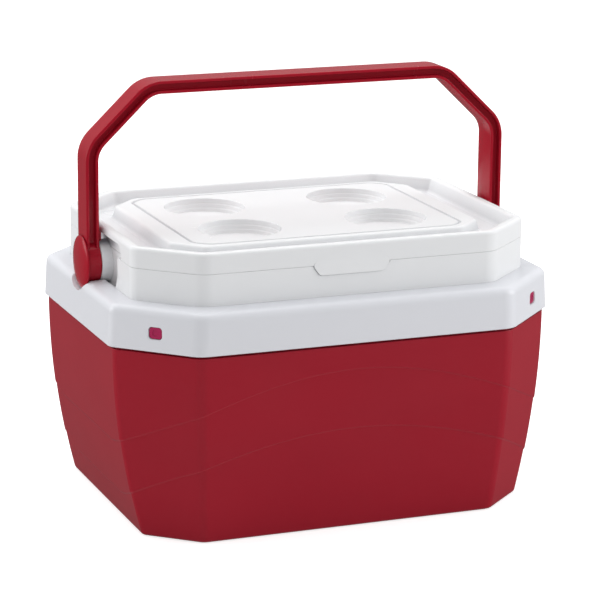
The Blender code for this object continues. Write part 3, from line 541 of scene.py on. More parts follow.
def tub():
    """The tub with its turned-over rim, the neck, the flange under the collar and the recessed ends."""
    under = SEAM_Z - NECK_WALL
    flange, inner = inset(NECK, -0.0120), inset(NECK, NECK_WALL)
    flange_foot = FLANGE_TOP_Z - 0.0023
    rings = [
        (level(inset(TUB_FLOOR, 0.0090), TUB_FLOOR_Z), 0),
        (level(tub_plan(TUB_FLOOR_Z), TUB_FLOOR_Z), 0.0085),
        (level(tub_plan(SEAM_Z), SEAM_Z), 0.0020),
        (level(NECK, SEAM_Z), 0.0005),
        (level(NECK, FLANGE_TOP_Z), 0),
        (level(flange, FLANGE_TOP_Z), 0.0006),
        (level(flange, flange_foot), 0.0006),
        (level(inner, flange_foot), 0),
        (level(inner, under), 0.0010),
        (level(tub_plan(under, -WALL), under), 0.0010),
        (level(tub_plan(TUB_FLOOR_Z - WALL, -WALL), TUB_FLOOR_Z - WALL), 0.0100),
        (level(inset(TUB_FLOOR, 0.0090), TUB_FLOOR_Z - WALL), 0),
    ]
    made = loft("tub", rings)
    join(made, *both(recess_wall, NECK_RECESS_HALF, CASING.z, SEAM_Z - 0.0010))
    join(made, *rods("pin_boss", 0.0120, PIN_LOW.x - 0.0010, RECESS_X - 0.0010))
    cut(made, *both(neck_recess))
    cut(made, *rods("hub_space", TROUGH_R, RECESS_X, BEYOND_X))
    cut(made, *rods("flange_gap", TROUGH_CLEAR_R, NECK[0] - 0.0005, BEYOND_X))
    join(made, *both(hub_boss))
    cut(made, *rods("pin_socket", PIN_R + GAP, PIN_LOW.x - GAP, HUB_INNER_X))
    return cut(made, *both(tab_notch))


def hub_boss(side):
    """The round boss that the hub turns against, held clear of the lid above the seam."""
    inner, outer, edge = RECESS_X - 0.0005, HUB_INNER_X - GAP, 0.0010
    rim = [(outer - edge + a, HUB_BOSS_R - edge + b) for a, b in arc_points((0, 0), edge, 0, 90, 4)]
    made = turned("hub_boss", [(outer, 0.0)] + rim + [(inner, HUB_BOSS_R), (inner, 0.0)], side)
    half, low, high = HUB_BOSS_R + 0.0020, SEAM_Z - 0.0002, SEAM_Z + 0.0100
    corners = ((-half, low), (half, low), (half, high), (-half, high))
    low_x, high_x = RECESS_X - 0.0020, RECESS_X + 0.0004
    return cut(made, slab("lid_clearance", corners, 0.0004, low_x, high_x, out_of_end(side)))


def recess_wall(side, half, foot, top):
    """The wall of a recess, before the recess is cut from it."""
    corners = ((-half - WALL, foot), (half + WALL, foot), (half + WALL, top), (-half - WALL, top))
    return slab("recess_wall", corners, 0.0008, RECESS_X - WALL, NECK[0] - 0.0007, out_of_end(side))


def neck_recess(side):
    """A pocket with slanted ends, open at the top and at the outside."""
    half, foot_half, top = NECK_RECESS_HALF, NECK_RECESS_FOOT_HALF, SEAM_Z + 0.0080
    right = [(foot_half, NECK_RECESS_FOOT_Z), (half, NECK_RECESS_SIDE_Z), (half, top)]
    corners = right + [(-y, z) for y, z in reversed(right)]
    beyond, place = RECESS_X + 0.0160, out_of_end(side)
    return pocket("neck_recess", corners, 0.0040, RECESS_X, NECK[0], beyond, place, 0.0012, 0.0010)


def tab_corners(grow=0.0):
    """The finger tab's outline: wider at its top than at its foot."""
    foot = [(-TAB_FOOT_HALF, LID_LOW.z), (TAB_FOOT_HALF, LID_LOW.z)]
    top = [(TAB_TOP_HALF, TAB_TOP_Z), (-TAB_TOP_HALF, TAB_TOP_Z)]
    return grown_polygon([Vector(corner) for corner in foot + top], grow)


def tab_notch(side):
    """The shallow notch in the neck behind a finger tab."""
    corners = tab_corners(0.0005)
    return slab("tab_notch", corners, TAB_CORNER_R, NECK[1] - 0.0013, NECK[1] + 0.0050, out_of_face(side))


# ---------------------------------------------------------------- collar
def collar_plan(z, distance=0.0):
    share = (z - COLLAR_LOW.z) / (COLLAR_EDGE_Z - COLLAR_LOW.z)
    return inset(blended(COLLAR_FOOT, COLLAR_HEAD, share), distance)


def collar():
    """The collar: its skirt and rounded shoulder, hollow below, with cradles for the hubs and caps."""
    skirt_top, shoulder_under, lead = COLLAR_EDGE_Z - 0.0051, COLLAR_EDGE_Z - 0.0010, 0.0040
    ring = loft("collar_band", [
        (level(collar_plan(COLLAR_LOW.z, 0.0018), COLLAR_LOW.z), 0),
        (level(collar_plan(COLLAR_LOW.z), COLLAR_LOW.z), 0.0010),
        (level(collar_plan(COLLAR_EDGE_Z), COLLAR_EDGE_Z), 0.0070),
        (level(inset(NECK, lead), NECK_FOOT_Z), 0),
    ])
    hollow = loft("collar_hollow", [
        (level(collar_plan(COLLAR_LOW.z, WALL), COLLAR_LOW.z - lead), 0),
        (level(collar_plan(skirt_top, WALL), skirt_top), 0.0010),
        (level(collar_plan(skirt_top, WALL + 0.0020), skirt_top + 0.0023), 0.0010),
        (level(inset(NECK, lead), shoulder_under), 0),
    ])
    cut(hollow, *rods("cradle", TROUGH_WALL_R, NECK[0] - 0.0030, BEYOND_X))
    neck_hole, below, above = inset(NECK, -0.0001), COLLAR_LOW.z - 0.0178, COLLAR_EDGE_Z + 0.0114
    opening = loft("neck_opening", [(level(neck_hole, z), 0) for z in (below, above)])
    cut(ring, hollow)
    cut(ring, opening)
    cut(ring, *rods("hub_space", TROUGH_R, RECESS_X, CAP_POCKET_X + 0.0022))
    cut(ring, *rods("cap_pocket", CAP_POCKET_R, CAP_POCKET_X, BEYOND_X))
    return cut(ring, *clip_cutters(CLIP_WIDTH + 2 * GAP, CLIP_HEIGHT + 2 * GAP, 0.0006))


# ---------------------------------------------------------------- corner clips
def clip_place(signs):
    """Puts clip coordinates in the frame: w runs out of the collar's slanted face from its surface."""
    half_length, half_width, long_flat, end_flat = collar_plan(CLIP_Z)[:4]
    sx, sy = signs
    end = Vector((sx * half_length, sy * end_flat, CLIP_Z))
    side = Vector((sx * long_flat, sy * half_width, CLIP_Z))
    out = Vector((abs(end.y - side.y) * sx, abs(end.x - side.x) * sy, 0)).normalized()
    up = Vector((0, 0, 1))
    across, middle = up.cross(out), (end + side) / 2
    if sx > 0:
        middle += (end - side).normalized() * RIGHT_CLIPS_SHIFT
    return lambda u, v, w: middle + across * u + up * v + out * w


def clip_cutters(width, height, mouth_edge=0.0):
    """Cutters for the four holes or windows that the clips pass through."""
    inner, beyond, radius = -SHANK_FOOT - 0.0015, 0.003, CLIP_CORNER_R
    corners = rectangle(width, height)
    tools = []
    for corner, signs in CLIP_CORNERS.items():
        name, place = "window_" + corner, clip_place(signs)
        if mouth_edge:
            tools.append(pocket(name, corners, radius, inner, 0.0, beyond, place, 0.0004, mouth_edge))
        else:
            tools.append(slab(name, corners, radius, inner, beyond, place))
    return tools


def clip(corner):
    """A snap-in peg: its head in the collar's window, its shank behind it, and a dimple in the head."""
    place = clip_place(CLIP_CORNERS[corner])
    head = rectangle(CLIP_WIDTH, CLIP_HEIGHT)
    made = slab("clip_" + corner, head, CLIP_CORNER_R, -CLIP_HEAD_FOOT, -CLIP_SUNK, place, 0.0008)
    shank, shank_r, overlap = rectangle(SHANK_WIDTH, SHANK_HEIGHT), CLIP_CORNER_R - 0.0006, 0.0006
    join(made, slab("shank", shank, shank_r, -SHANK_FOOT, -CLIP_HEAD_FOOT + overlap, place, 0.0006))
    dimple, floor, above = rectangle(CLIP_WIDTH * 0.45, CLIP_HEIGHT * 0.5), 0.0005, 0.0010
    return cut(made, slab("dimple", dimple, 0.0014, -CLIP_SUNK - floor, -CLIP_SUNK + above, place, 0.0004))


# ---------------------------------------------------------------- handle
def handle_path():
    """The handle's middle line as (x, z) points, from the right hub over the top to the left hub."""
    foot = Vector((ARM_X, PIVOT_Z + 0.0137))
    arm, shoulder = (Vector(corner) for corner in HANDLE_CORNERS)
    half = [foot] + rounded_corner(foot, arm, shoulder, HANDLE_BEND_R, 14)
    half += rounded_corner(arm, shoulder, Vector((0, shoulder.y)), HANDLE_BEND_R, 14)
    return half + [Vector((-p.x, p.y)) for p in reversed(half)]


def arc_points(centre, radius, start, end, steps):
    """Points on an arc as (x, y), with its angles in degrees."""
    turns = [math.radians(start + (end - start) * i / steps) for i in range(steps + 1)]
    return [(centre[0] + radius * math.cos(t), centre[1] + radius * math.sin(t)) for t in turns]


def handle_section():
    """The H-shaped section of the bow: (out across its thickness, across its depth), for y above 0,
    from the middle of the outer face round to the middle of the inner face, then mirrored."""
    thick, deep = ARM_THICK / 2, HANDLE_DEPTH / 2
    web, lip = WEB_THICK / 2, thick - FLANGE_THICK
    outer_r, inner_r, root_r = 0.0011, 0.0008, 0.0009
    rear = arc_points((thick - outer_r, deep - outer_r), outer_r, 0, 90, 5)
    rear += arc_points((lip + 0.0005, deep - 0.0005), 0.0005, 90, 180, 3)
    rear += arc_points((lip - root_r, web + root_r), root_r, 0, -90, 4)
    rear += arc_points((-lip + root_r, web + root_r), root_r, -90, -180, 4)
    rear += arc_points((-lip - 0.0005, deep - 0.0005), 0.0005, 0, 90, 3)
    rear += arc_points((-thick + inner_r, deep - inner_r), inner_r, 90, 180, 4)
    for share in (0.83, 0.66, 0.5, 0.33, 0.16):
        bulge = HANDLE_CROWN * math.cos(share * math.pi / 2)
        rear.append((-thick - bulge, share * (deep - inner_r)))
    middle_inner, front = [(-thick - HANDLE_CROWN, 0.0)], [(x, -y) for x, y in reversed(rear)]
    return rear + middle_inner + front


def bow():
    """The handle's bow: its section carried along its path."""
    path, section = handle_path(), handle_section()
    rings = []
    for i, point in enumerate(path):
        before, after = path[max(i - 1, 0)], path[min(i + 1, len(path) - 1)]
        along = ((point - before).normalized() + (after - point).normalized()).normalized()
        out = Vector((along.y, -along.x))
        rings.append(([Vector((point.x + out.x * s, y, point.y + out.y * s)) for s, y in section], 0))
    return loft("bow", rings)


def hub(side):
    """The hub with its bore, the counterbore for the pin's head and the groove for the cap's spigot."""
    bore, counterbore, groove_deep = PIN_R + GAP, PIN_HEAD_R + 0.0006, 0.0030
    edge = 0.0009
    rim = [(HUB_OUTER_X - edge + a, HUB_R - edge + b) for a, b in arc_points((0, 0), edge, 0, 90, 4)]
    foot = [(HUB_INNER_X + edge + a, HUB_R - edge + b) for a, b in arc_points((0, 0), edge, 90, 180, 4)]
    profile = rim + foot + [
        (HUB_INNER_X, bore),
        (HUB_OUTER_X - 0.0028, bore),
        (HUB_OUTER_X - 0.0028, counterbore),
        (HUB_OUTER_X, counterbore),
        (HUB_OUTER_X, SPIGOT_INNER_R - GAP),
        (HUB_OUTER_X - groove_deep, SPIGOT_INNER_R - GAP),
        (HUB_OUTER_X - groove_deep, SPIGOT_OUTER_R + GAP),
        (HUB_OUTER_X, SPIGOT_OUTER_R + GAP),
        rim[0],
    ]
    return turned("hub", profile, side)


def gusset(side):
    """The block on the arm's inner flange that stands just over the boss."""
    inner, shoulder, outer = (ARM_X - depth for depth in (0.0084, 0.0054, 0.0042))
    low, slant, top = PIVOT_Z + 0.0196, PIVOT_Z + 0.0265, PIVOT_Z + 0.0310
    corners = ((inner, low), (outer, low), (outer, top), (shoulder, top), (inner, slant))
    half = 0.0095
    return slab("gusset", corners, 0.0010, -half, half, lambda u, v, w: Vector((side * u, w, v)), 0.0008)


def handle():
    """The handle as one moulding: the bow, a hub at each end and a gusset over each hub."""
    made = bow()
    join(made, *both(hub))
    return join(made, *both(gusset))


def cap(side):
    """A domed cover with a ring-shaped spigot that snaps into the hub's groove."""
    low = CAP_INNER_X + 0.0008
    turns = [math.radians(90 * i / 16) for i in range(17)]
    dome = [(low + (CAP_HIGH.x - low) * math.cos(t), CAP_R * math.sin(t)) for t in turns]
    profile = dome + [
        (CAP_INNER_X + 0.0003, CAP_R - 0.0001),
        (CAP_INNER_X, CAP_R - 0.0005),
        (CAP_INNER_X, SPIGOT_OUTER_R),
        (CAP_LOW.x + 0.0003, SPIGOT_OUTER_R),
        (CAP_LOW.x, SPIGOT_OUTER_R - 0.0003),
        (CAP_LOW.x, SPIGOT_INNER_R),
        (CAP_INNER_X, SPIGOT_INNER_R),
        (CAP_INNER_X, 0.0),
    ]
    return turned("cap_" + word(side), profile, side)


def pin(side):
    """The pin that the hub turns on, with a slotted flat head in the hub's counterbore."""
    head_in, edge = PIN_HIGH.x - 0.0022, 0.0006
    profile = [
        (PIN_HIGH.x, 0.0),
        (PIN_HIGH.x, PIN_HEAD_R - edge),
        (PIN_HIGH.x - edge * 0.3, PIN_HEAD_R - edge * 0.3),
        (PIN_HIGH.x - edge, PIN_HEAD_R),
        (head_in, PIN_HEAD_R),
        (head_in, PIN_R),
        (PIN_LOW.x + 0.0010, PIN_R),
        (PIN_LOW.x + 0.0003, PIN_R - 0.0003),
        (PIN_LOW.x, PIN_R - 0.0010),
        (PIN_LOW.x, 0.0),
    ]
    made = turned("pin_" + word(side), profile, side)
    corners = [(y, PIVOT_Z + z) for y, z in rectangle(0.0100, 0.0016)]
    slot = slab("slot", corners, 0.0004, PIN_HIGH.x - 0.0012, PIN_HIGH.x + 0.0010, out_of_end(side))
    return cut(made, slot)


# ---------------------------------------------------------------- lid
def cup_bosses():
    """The walls of the cup recesses, before the recesses are cut from them."""
    outer = CUP_TIERS[0][0] + WALL
    heights = (PLATFORM_Z - CUP_TIERS[-1][2] - WALL, PLATFORM_Z - 0.0006)
    return [
        loft(f"cup_boss_{i}", [(circle(centre, outer, z), 0) for z in heights])
        for i, centre in enumerate(CUP_CENTRES)
    ]


def cup_cutters():
    """The cup recesses: three tiers, each a little narrower than the one above it, and a rounded mouth."""
    mouth = CUP_TIERS[0][0] + CUP_FLARE
    profile = [(CUP_TIERS[-1][1] - 0.0040, PLATFORM_Z - CUP_TIERS[-1][2], 0)]
    tops = [depth for _, _, depth in CUP_TIERS[:-1]]
    for (top_radius, foot_radius, depth), top in zip(reversed(CUP_TIERS), reversed([0.0] + tops)):
        profile.append((foot_radius, PLATFORM_Z - depth, 0.0006))
        profile.append((top_radius, PLATFORM_Z - top - 0.0003, 0.0005))
    profile[-1] = (CUP_TIERS[0][0], PLATFORM_Z, CUP_FLARE)
    profile += [(mouth, PLATFORM_Z + 0.00004, 0), (mouth, PLATFORM_Z + 0.0040, 0)]
    return [
        loft(f"cup_{i}", [(circle(centre, radius, z), soft) for radius, z, soft in profile])
        for i, centre in enumerate(CUP_CENTRES)
    ]


def groove_cutter():
    """A ring-shaped cutter for the thin groove round the platform, narrower at its floor."""
    floor_z, above = PLATFORM_Z - GROOVE_DEPTH, PLATFORM_Z + 0.0010
    outer, inner = inset(GROOVE, -0.0002), inset(GROOVE, GROOVE_WIDTH + 0.0002)
    floor_outer, floor_inner = inset(GROOVE, 0.0009), inset(GROOVE, GROOVE_WIDTH - 0.0009)
    rings = [
        (level(outer, above), 0),
        (level(inner, above), 0),
        (level(inner, PLATFORM_Z), 0.0002),
        (level(floor_inner, floor_z), 0.0003),
        (level(floor_outer, floor_z), 0.0003),
        (level(outer, PLATFORM_Z), 0.0002),
    ]
    return loft("groove", rings, cyclic=True)


def lid_recess(side):
    """An arch over the hub: upright sides, and a rounded top just under the lid's rim."""
    half, foot = LID_RECESS_HALF, SEAM_Z - 0.0100
    corners = ((-half, foot), (half, foot), (half, LID_RECESS_TOP_Z), (-half, LID_RECESS_TOP_Z))
    beyond, place = RECESS_X + 0.0160, out_of_end(side)
    return pocket("lid_recess", corners, 0.0095, RECESS_X, NECK[0], beyond, place, 0.0012, 0.0010)


def finger_tab(side):
    """A wedge that leans out of the lid's face from its top to its foot."""
    depth = TAB_TOP_Z - LID_LOW.z

    def place(u, v, w):
        lean = (TAB_TOP_Z - v) / depth * TAB_PROUD
        return out_of_face(side)(u, v, NECK[1] + (lean if w > 0 else w))

    return slab("finger_tab", tab_corners(), TAB_CORNER_R, -0.0010, 1.0, place)


def lid():
    """The lid's cover: skirt, rim, gutter and platform, with its cups, groove, end arches and tabs."""
    seam, top = SEAM_Z + SEAM_GAP, LID_HIGH.z
    gutter_out, gutter_in = inset(NECK, RIM_WIDTH + 0.0045), inset(PLATFORM, -0.0030)
    rings = [
        (level(inset(PLATFORM, 0.0030), PLATFORM_Z - WALL), 0),
        (level(inset(gutter_in, 0.0024), GUTTER_Z - WALL), 0.0010),
        (level(inset(NECK, RIM_WIDTH + 0.0030), GUTTER_Z - WALL), 0.0010),
        (level(inset(NECK, RIM_WIDTH - 0.0015), top - 0.0026), 0.0010),
        (level(inset(NECK, NECK_WALL), top - 0.0026), 0.0010),
        (level(inset(NECK, NECK_WALL), seam), 0),
        (level(NECK, seam), 0.0004),
        (level(NECK, top), 0.0034),
        (level(inset(NECK, RIM_WIDTH), top), 0.0026),
        (level(gutter_out, GUTTER_Z), 0.0030),
        (level(gutter_in, GUTTER_Z), 0.0026),
        (level(inset(PLATFORM, 0.0002), PLATFORM_Z), 0.0024),
        (level(inset(PLATFORM, 0.0060), PLATFORM_Z), 0),
    ]
    made = loft("lid_top", rings)
    join(made, *cup_bosses())
    join(made, *both(recess_wall, LID_RECESS_HALF, seam + 0.0002, top - 0.0020))
    cut(made, *both(lid_recess))
    cut(made, *cup_cutters())
    cut(made, groove_cutter())
    return join(made, *both(finger_tab))


def lid_tray():
    """The inner tray that closes the lid from below and reaches down into the tub's opening."""
    low = SEAM_Z + GAP + 0.0002
    high, flange = low + 0.0020, inset(NECK, 0.0103)
    wall_top = tub_plan(SEAM_Z, PLUG_CLEARANCE)
    wall_foot = tub_plan(PLUG_Z, PLUG_CLEARANCE + PLUG_TAPER)
    rings = [
        (level(inset(wall_foot, WALL + 0.0060), PLUG_Z + WALL), 0),
        (level(inset(wall_foot, WALL), PLUG_Z + WALL), 0.0030),
        (level(inset(wall_top, WALL), high), 0.0006),
        (level(flange, high), 0.0006),
        (level(flange, low), 0.0006),
        (level(wall_top, low), 0.0008),
        (level(wall_foot, PLUG_Z), 0.0036),
        (level(inset(wall_foot, 0.0080), PLUG_Z), 0),
    ]
    return loft("lid_tray", rings)


# ---------------------------------------------------------------- materials
class Nodes:
    """A short way to write a material's node tree."""

    def __init__(self, tree):
        self.tree = tree

    def add(self, kind, inputs=(), **settings):
        node = self.tree.nodes.new(kind)
        for key, value in settings.items():
            setattr(node, key, value)
        for key, value in dict(inputs).items():
            self.put(node.inputs[key], value)
        return node

    def put(self, socket, value):
        if isinstance(value, bpy.types.NodeSocket):
            self.tree.links.new(value, socket)
        else:
            socket.default_value = value

    def noise(self, coords, scale, detail=2.0, stretch=None):
        if stretch:
            coords = self.add("ShaderNodeMapping", {"Vector": coords, "Scale": stretch}).outputs[0]
        inputs = {"Vector": coords, "Scale": scale, "Detail": detail}
        return self.add("ShaderNodeTexNoise", inputs).outputs[0]

    def spread(self, value, low, high, to_low, to_high):
        """Maps a value from one range to another, clamped."""
        inputs = {"Value": value, "From Min": low, "From Max": high, "To Min": to_low, "To Max": to_high}
        return self.add("ShaderNodeMapRange", inputs).outputs[0]

    def maths(self, operation, a, b):
        return self.add("ShaderNodeMath", {0: a, 1: b}, operation=operation).outputs[0]

    def mix(self, share, a, b):
        node = self.add("ShaderNodeMix", data_type="RGBA")
        for socket, value in zip((node.inputs[0], node.inputs[6], node.inputs[7]), (share, a, b)):
            self.put(socket, value)
        return node.outputs[2]

    def bump(self, height, distance, normal=None):
        inputs = {"Height": height, "Distance": distance}
        if normal:
            inputs["Normal"] = normal
        return self.add("ShaderNodeBump", inputs).outputs[0]


def shaded(colour, factor):
    return (*(min(channel * factor, 1.0) for channel in colour), 1.0)


def new_material(name):
    made = bpy.data.materials.new(name)
    made.use_nodes = True
    return made, Nodes(made.node_tree), made.node_tree.nodes["Principled BSDF"]


def moulded_tone(nodes, coords, colour, variation, painted_shade):
    """The plastic's colour: soft flow marks and a fine speckle, and painted shade in the lid's more
    enclosed hollows.
    """
    flow = nodes.spread(nodes.noise(coords, 7.0, 3.0, (1.0, 1.0, 2.5)), 0.3, 0.7, 0.0, 0.8)
    speckle = nodes.spread(nodes.noise(coords, 900.0, 1.0), 0.3, 0.7, 0.0, 0.2)
    share = nodes.maths("ADD", flow, speckle)
    tone = nodes.mix(share, shaded(colour, 1 - variation), shaded(colour, 1 + variation))
    if not painted_shade:
        return tone
    # painted shade: the lid's hollows are greyed where ambient occlusion finds them enclosed, standing in
    # for the shade that falls there
    open_sky = nodes.add("ShaderNodeAmbientOcclusion", {"Distance": PAINTED_SHADE_REACH}, samples=8).outputs["AO"]
    sheltered = nodes.spread(open_sky, 0.35, 0.95, painted_shade, 0.0)
    return nodes.mix(nodes.maths("MULTIPLY", sheltered, gutter_mask(nodes, coords)), tone, PAINTED_SHADE)


def gutter_mask(nodes, coords):
    """Where the painted shade may go: 1 round the lid, in its groove and gutter and on its rim; 0 near the
    cups and below the seam.
    """
    parts = nodes.add("ShaderNodeSeparateXYZ", {0: coords}).outputs
    beyond_end = nodes.maths("SUBTRACT", nodes.maths("ABSOLUTE", parts[0], 0), PAINTED_SHADE_BEYOND_X)
    beyond_side = nodes.maths("SUBTRACT", nodes.maths("ABSOLUTE", parts[1], 0), PAINTED_SHADE_BEYOND_Y)
    outside = nodes.spread(nodes.maths("MAXIMUM", beyond_end, beyond_side), 0.0, 0.0020, 0.0, 1.0)
    above_seam = nodes.spread(parts[2], SEAM_Z + 0.0010, SEAM_Z + 0.0030, 0.0, 1.0)
    return nodes.maths("MULTIPLY", outside, above_seam)


def rubbed_edges(nodes, coords, rounded):
    """Patches of the rounded edges, where a shading normal turns away from its face."""
    normal = nodes.add("ShaderNodeNewGeometry").outputs["Normal"]
    pair = {0: rounded, 1: normal}
    facing = nodes.add("ShaderNodeVectorMath", pair, operation="DOT_PRODUCT").outputs["Value"]
    patchy = nodes.spread(nodes.noise(coords, 55.0, 3.0), 0.4, 0.65, 0.0, 0.3)
    return nodes.maths("MULTIPLY", nodes.spread(facing, 0.90, 0.99, 1.0, 0.0), patchy)


def hairline_scuffs(nodes, coords):
    """Thin lines, where a noise crosses its middle value, in a few areas only."""
    level_noise = nodes.noise(coords, 11.0, 2.0, (1.0, 1.0, 0.3))
    contour = nodes.maths("ABSOLUTE", nodes.maths("SUBTRACT", level_noise, 0.5), 0)
    sparse = nodes.spread(nodes.noise(coords, 6.0, 1.0), 0.5, 0.6, 0.0, 1.0)
    return nodes.maths("MULTIPLY", nodes.spread(contour, 0.0, 0.003, 1.0, 0.0), sparse)


def plastic(name, colour, roughness, variation=0.03, peel=0.00002, scuff=0.05, edge=0.0004, gloss=0.5,
            painted_shade=0.0):
    """Injection-moulded plastic: faint flow marks, a fine orange-peel surface, hairline scuffs in its
    sheen, slightly rubbed edges and, where its strength is given, painted shade in the lid's hollows."""
    made, nodes, shader = new_material(name)
    coords = nodes.add("ShaderNodeTexCoord").outputs["Object"]
    rounded = nodes.add("ShaderNodeBevel", {"Radius": edge}, samples=4).outputs[0]
    tone = moulded_tone(nodes, coords, colour, variation, painted_shade)
    worn = shaded([channel + 0.03 for channel in colour], 1.2)
    nodes.put(shader.inputs["Base Color"], nodes.mix(rubbed_edges(nodes, coords, rounded), tone, worn))
    cloud = nodes.spread(nodes.noise(coords, 16.0, 1.0), 0.0, 1.0, roughness - 0.03, roughness + 0.03)
    scuffs = nodes.maths("MULTIPLY", hairline_scuffs(nodes, coords), scuff)
    nodes.put(shader.inputs["Roughness"], nodes.maths("ADD", scuffs, cloud))
    skin = nodes.bump(nodes.noise(coords, 420.0, 2.0), peel, rounded)
    nodes.put(shader.inputs["Normal"], nodes.bump(nodes.noise(coords, 26.0, 1.0), peel * 2.5, skin))
    shader.inputs["Specular IOR Level"].default_value = gloss
    return made


def foam_material(name, colour):
    """Rigid foam: small closed cells with a matt skin."""
    made, nodes, shader = new_material(name)
    inputs = {"Vector": nodes.add("ShaderNodeTexCoord").outputs["Object"], "Scale": 320.0}
    cells = nodes.add("ShaderNodeTexVoronoi", inputs, feature="F1").outputs["Distance"]
    tone = nodes.spread(cells, 0.0, 0.7, 0.0, 1.0)
    nodes.put(shader.inputs["Base Color"], nodes.mix(tone, shaded(colour, 1.04), shaded(colour, 0.86)))
    nodes.put(shader.inputs["Normal"], nodes.bump(cells, 0.0004))
    shader.inputs["Roughness"].default_value = 0.9
    return made


# Colours are linear RGB
RED = (0.360, 0.0035, 0.0180)
HANDLE_RED = (0.355, 0.0055, 0.0180)
CLIP_RED = (0.420, 0.020, 0.095)
WHITE = (0.794, 0.802, 0.814)
COOL_WHITE = (0.722, 0.732, 0.772)
FOAM = (0.86, 0.86, 0.84)

# Painted shade in the lid's hollows: its colour, how wide a hollow it darkens, and how far from the lid's
# middle it begins
PAINTED_SHADE = (0.42, 0.43, 0.46, 1.0)
PAINTED_SHADE_REACH = 0.020
PAINTED_SHADE_BEYOND_X = 0.1080
PAINTED_SHADE_BEYOND_Y = 0.0850


# ---------------------------------------------------------------- pieces on their bodies
def shade(made, angle=30):
    """Smooth shading with sharp edges, and flat faces that stay flat right up to their rounded edges."""
    mesh = bmesh.new()
    mesh.from_mesh(made.data)
    bmesh.ops.remove_doubles(mesh, verts=mesh.verts, dist=2e-6)
    bmesh.ops.dissolve_degenerate(mesh, edges=mesh.edges, dist=1e-6)
    mesh.to_mesh(made.data)
    mesh.free()
    made.data.shade_smooth()
    made.data.set_sharp_from_angle(angle=math.radians(angle))
    weighted = made.modifiers.new("weighted", "WEIGHTED_NORMAL")
    weighted.keep_sharp = True
    weighted.weight = 80
    return made


def placed(made, material, body, node):
    """Finishes a piece: its shading, its material, the body it rides and the frame node it stands for."""
    shade(made)
    made.data.materials.clear()
    made.data.materials.append(material)
    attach(made, body)
    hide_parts(node)
    return made


def build_object():
    """All the pieces, each with its material, on its body and in its node's place."""
    red = plastic("casing_plastic", RED, 0.34)
    handle_red = plastic("handle_plastic", HANDLE_RED, 0.24, peel=0.000010, gloss=0.25)
    clip_red = plastic("clip_plastic", CLIP_RED, 0.25, scuff=0.03)
    fine = {"variation": 0.008, "peel": 0.000008, "scuff": 0.008}
    # painted shade greys the lid's gutter, groove and rim in this white
    white = plastic("white_plastic", WHITE, 0.26, gloss=0.12, painted_shade=0.8, **fine)
    cool_white = plastic("collar_plastic", COOL_WHITE, 0.26, gloss=0.35, **fine)
    acetal = plastic("pin_plastic", WHITE, 0.20, variation=0.01, scuff=0.02, edge=0.0002)
    foam = foam_material("foam", FOAM)
    placed(casing(), red, "chest", "body_shell")
    placed(tub(), white, "chest", "liner")
    placed(collar(), cool_white, "chest", "collar")
    for corner in CLIP_CORNERS:
        placed(clip(corner), clip_red, "chest", "collar_clip_" + corner)
    placed(handle(), handle_red, "bail", "handle")
    for side in (1, -1):
        placed(cap(side), handle_red, "bail", "pivot_cap_" + word(side))
        placed(pin(side), acetal, "chest", "pivot_pin_" + word(side))
    placed(lid(), white, "lid", "lid_cover")
    placed(lid_tray(), white, "lid", "lid_plug")
    for name in ("body_foam", "lid_foam"):
        node = frame["nodes"][name]
        node.data.materials.clear()
        node.data.materials.append(foam)


# ---------------------------------------------------------------- studio
FLOOR_HALF = 30.0
FLOOR_GLOW = 0.62


def floor():
    """A plain pale floor, lit a little more for the camera and left out of reflections."""
    mesh = bmesh.new()
    bmesh.ops.create_grid(mesh, x_segments=2, y_segments=2, size=FLOOR_HALF)
    data = bpy.data.meshes.new("floor")
    mesh.to_mesh(data)
    mesh.free()
    made = linked("floor", data)
    made.location.z = -0.0002
    material, nodes, shader = new_material("floor")
    shader.inputs["Base Color"].default_value = (0.72, 0.72, 0.72, 1)
    shader.inputs["Roughness"].default_value = 0.9
    shader.inputs["Specular IOR Level"].default_value = 0.0
    seen = nodes.add("ShaderNodeLightPath").outputs["Is Camera Ray"]
    shader.inputs["Emission Color"].default_value = (1, 1, 1, 1)
    nodes.put(shader.inputs["Emission Strength"], nodes.maths("MULTIPLY", seen, FLOOR_GLOW))
    data.materials.append(material)
    made.visible_glossy = False


# Light that only falls on the surfaces, and brightness of the surround in reflections, by direction
EVEN_LIGHT = 0.91
SHEEN_ROUND = 0.01
SHEEN_BEHIND = 0.20
SHEEN_SKY_BEHIND = 0.40
SHEEN_SKY_FRONT = 0.05
SHEEN_BELOW = 0.35
AWAY_FROM_CAMERA = (0.364, 0.931, 0.0)


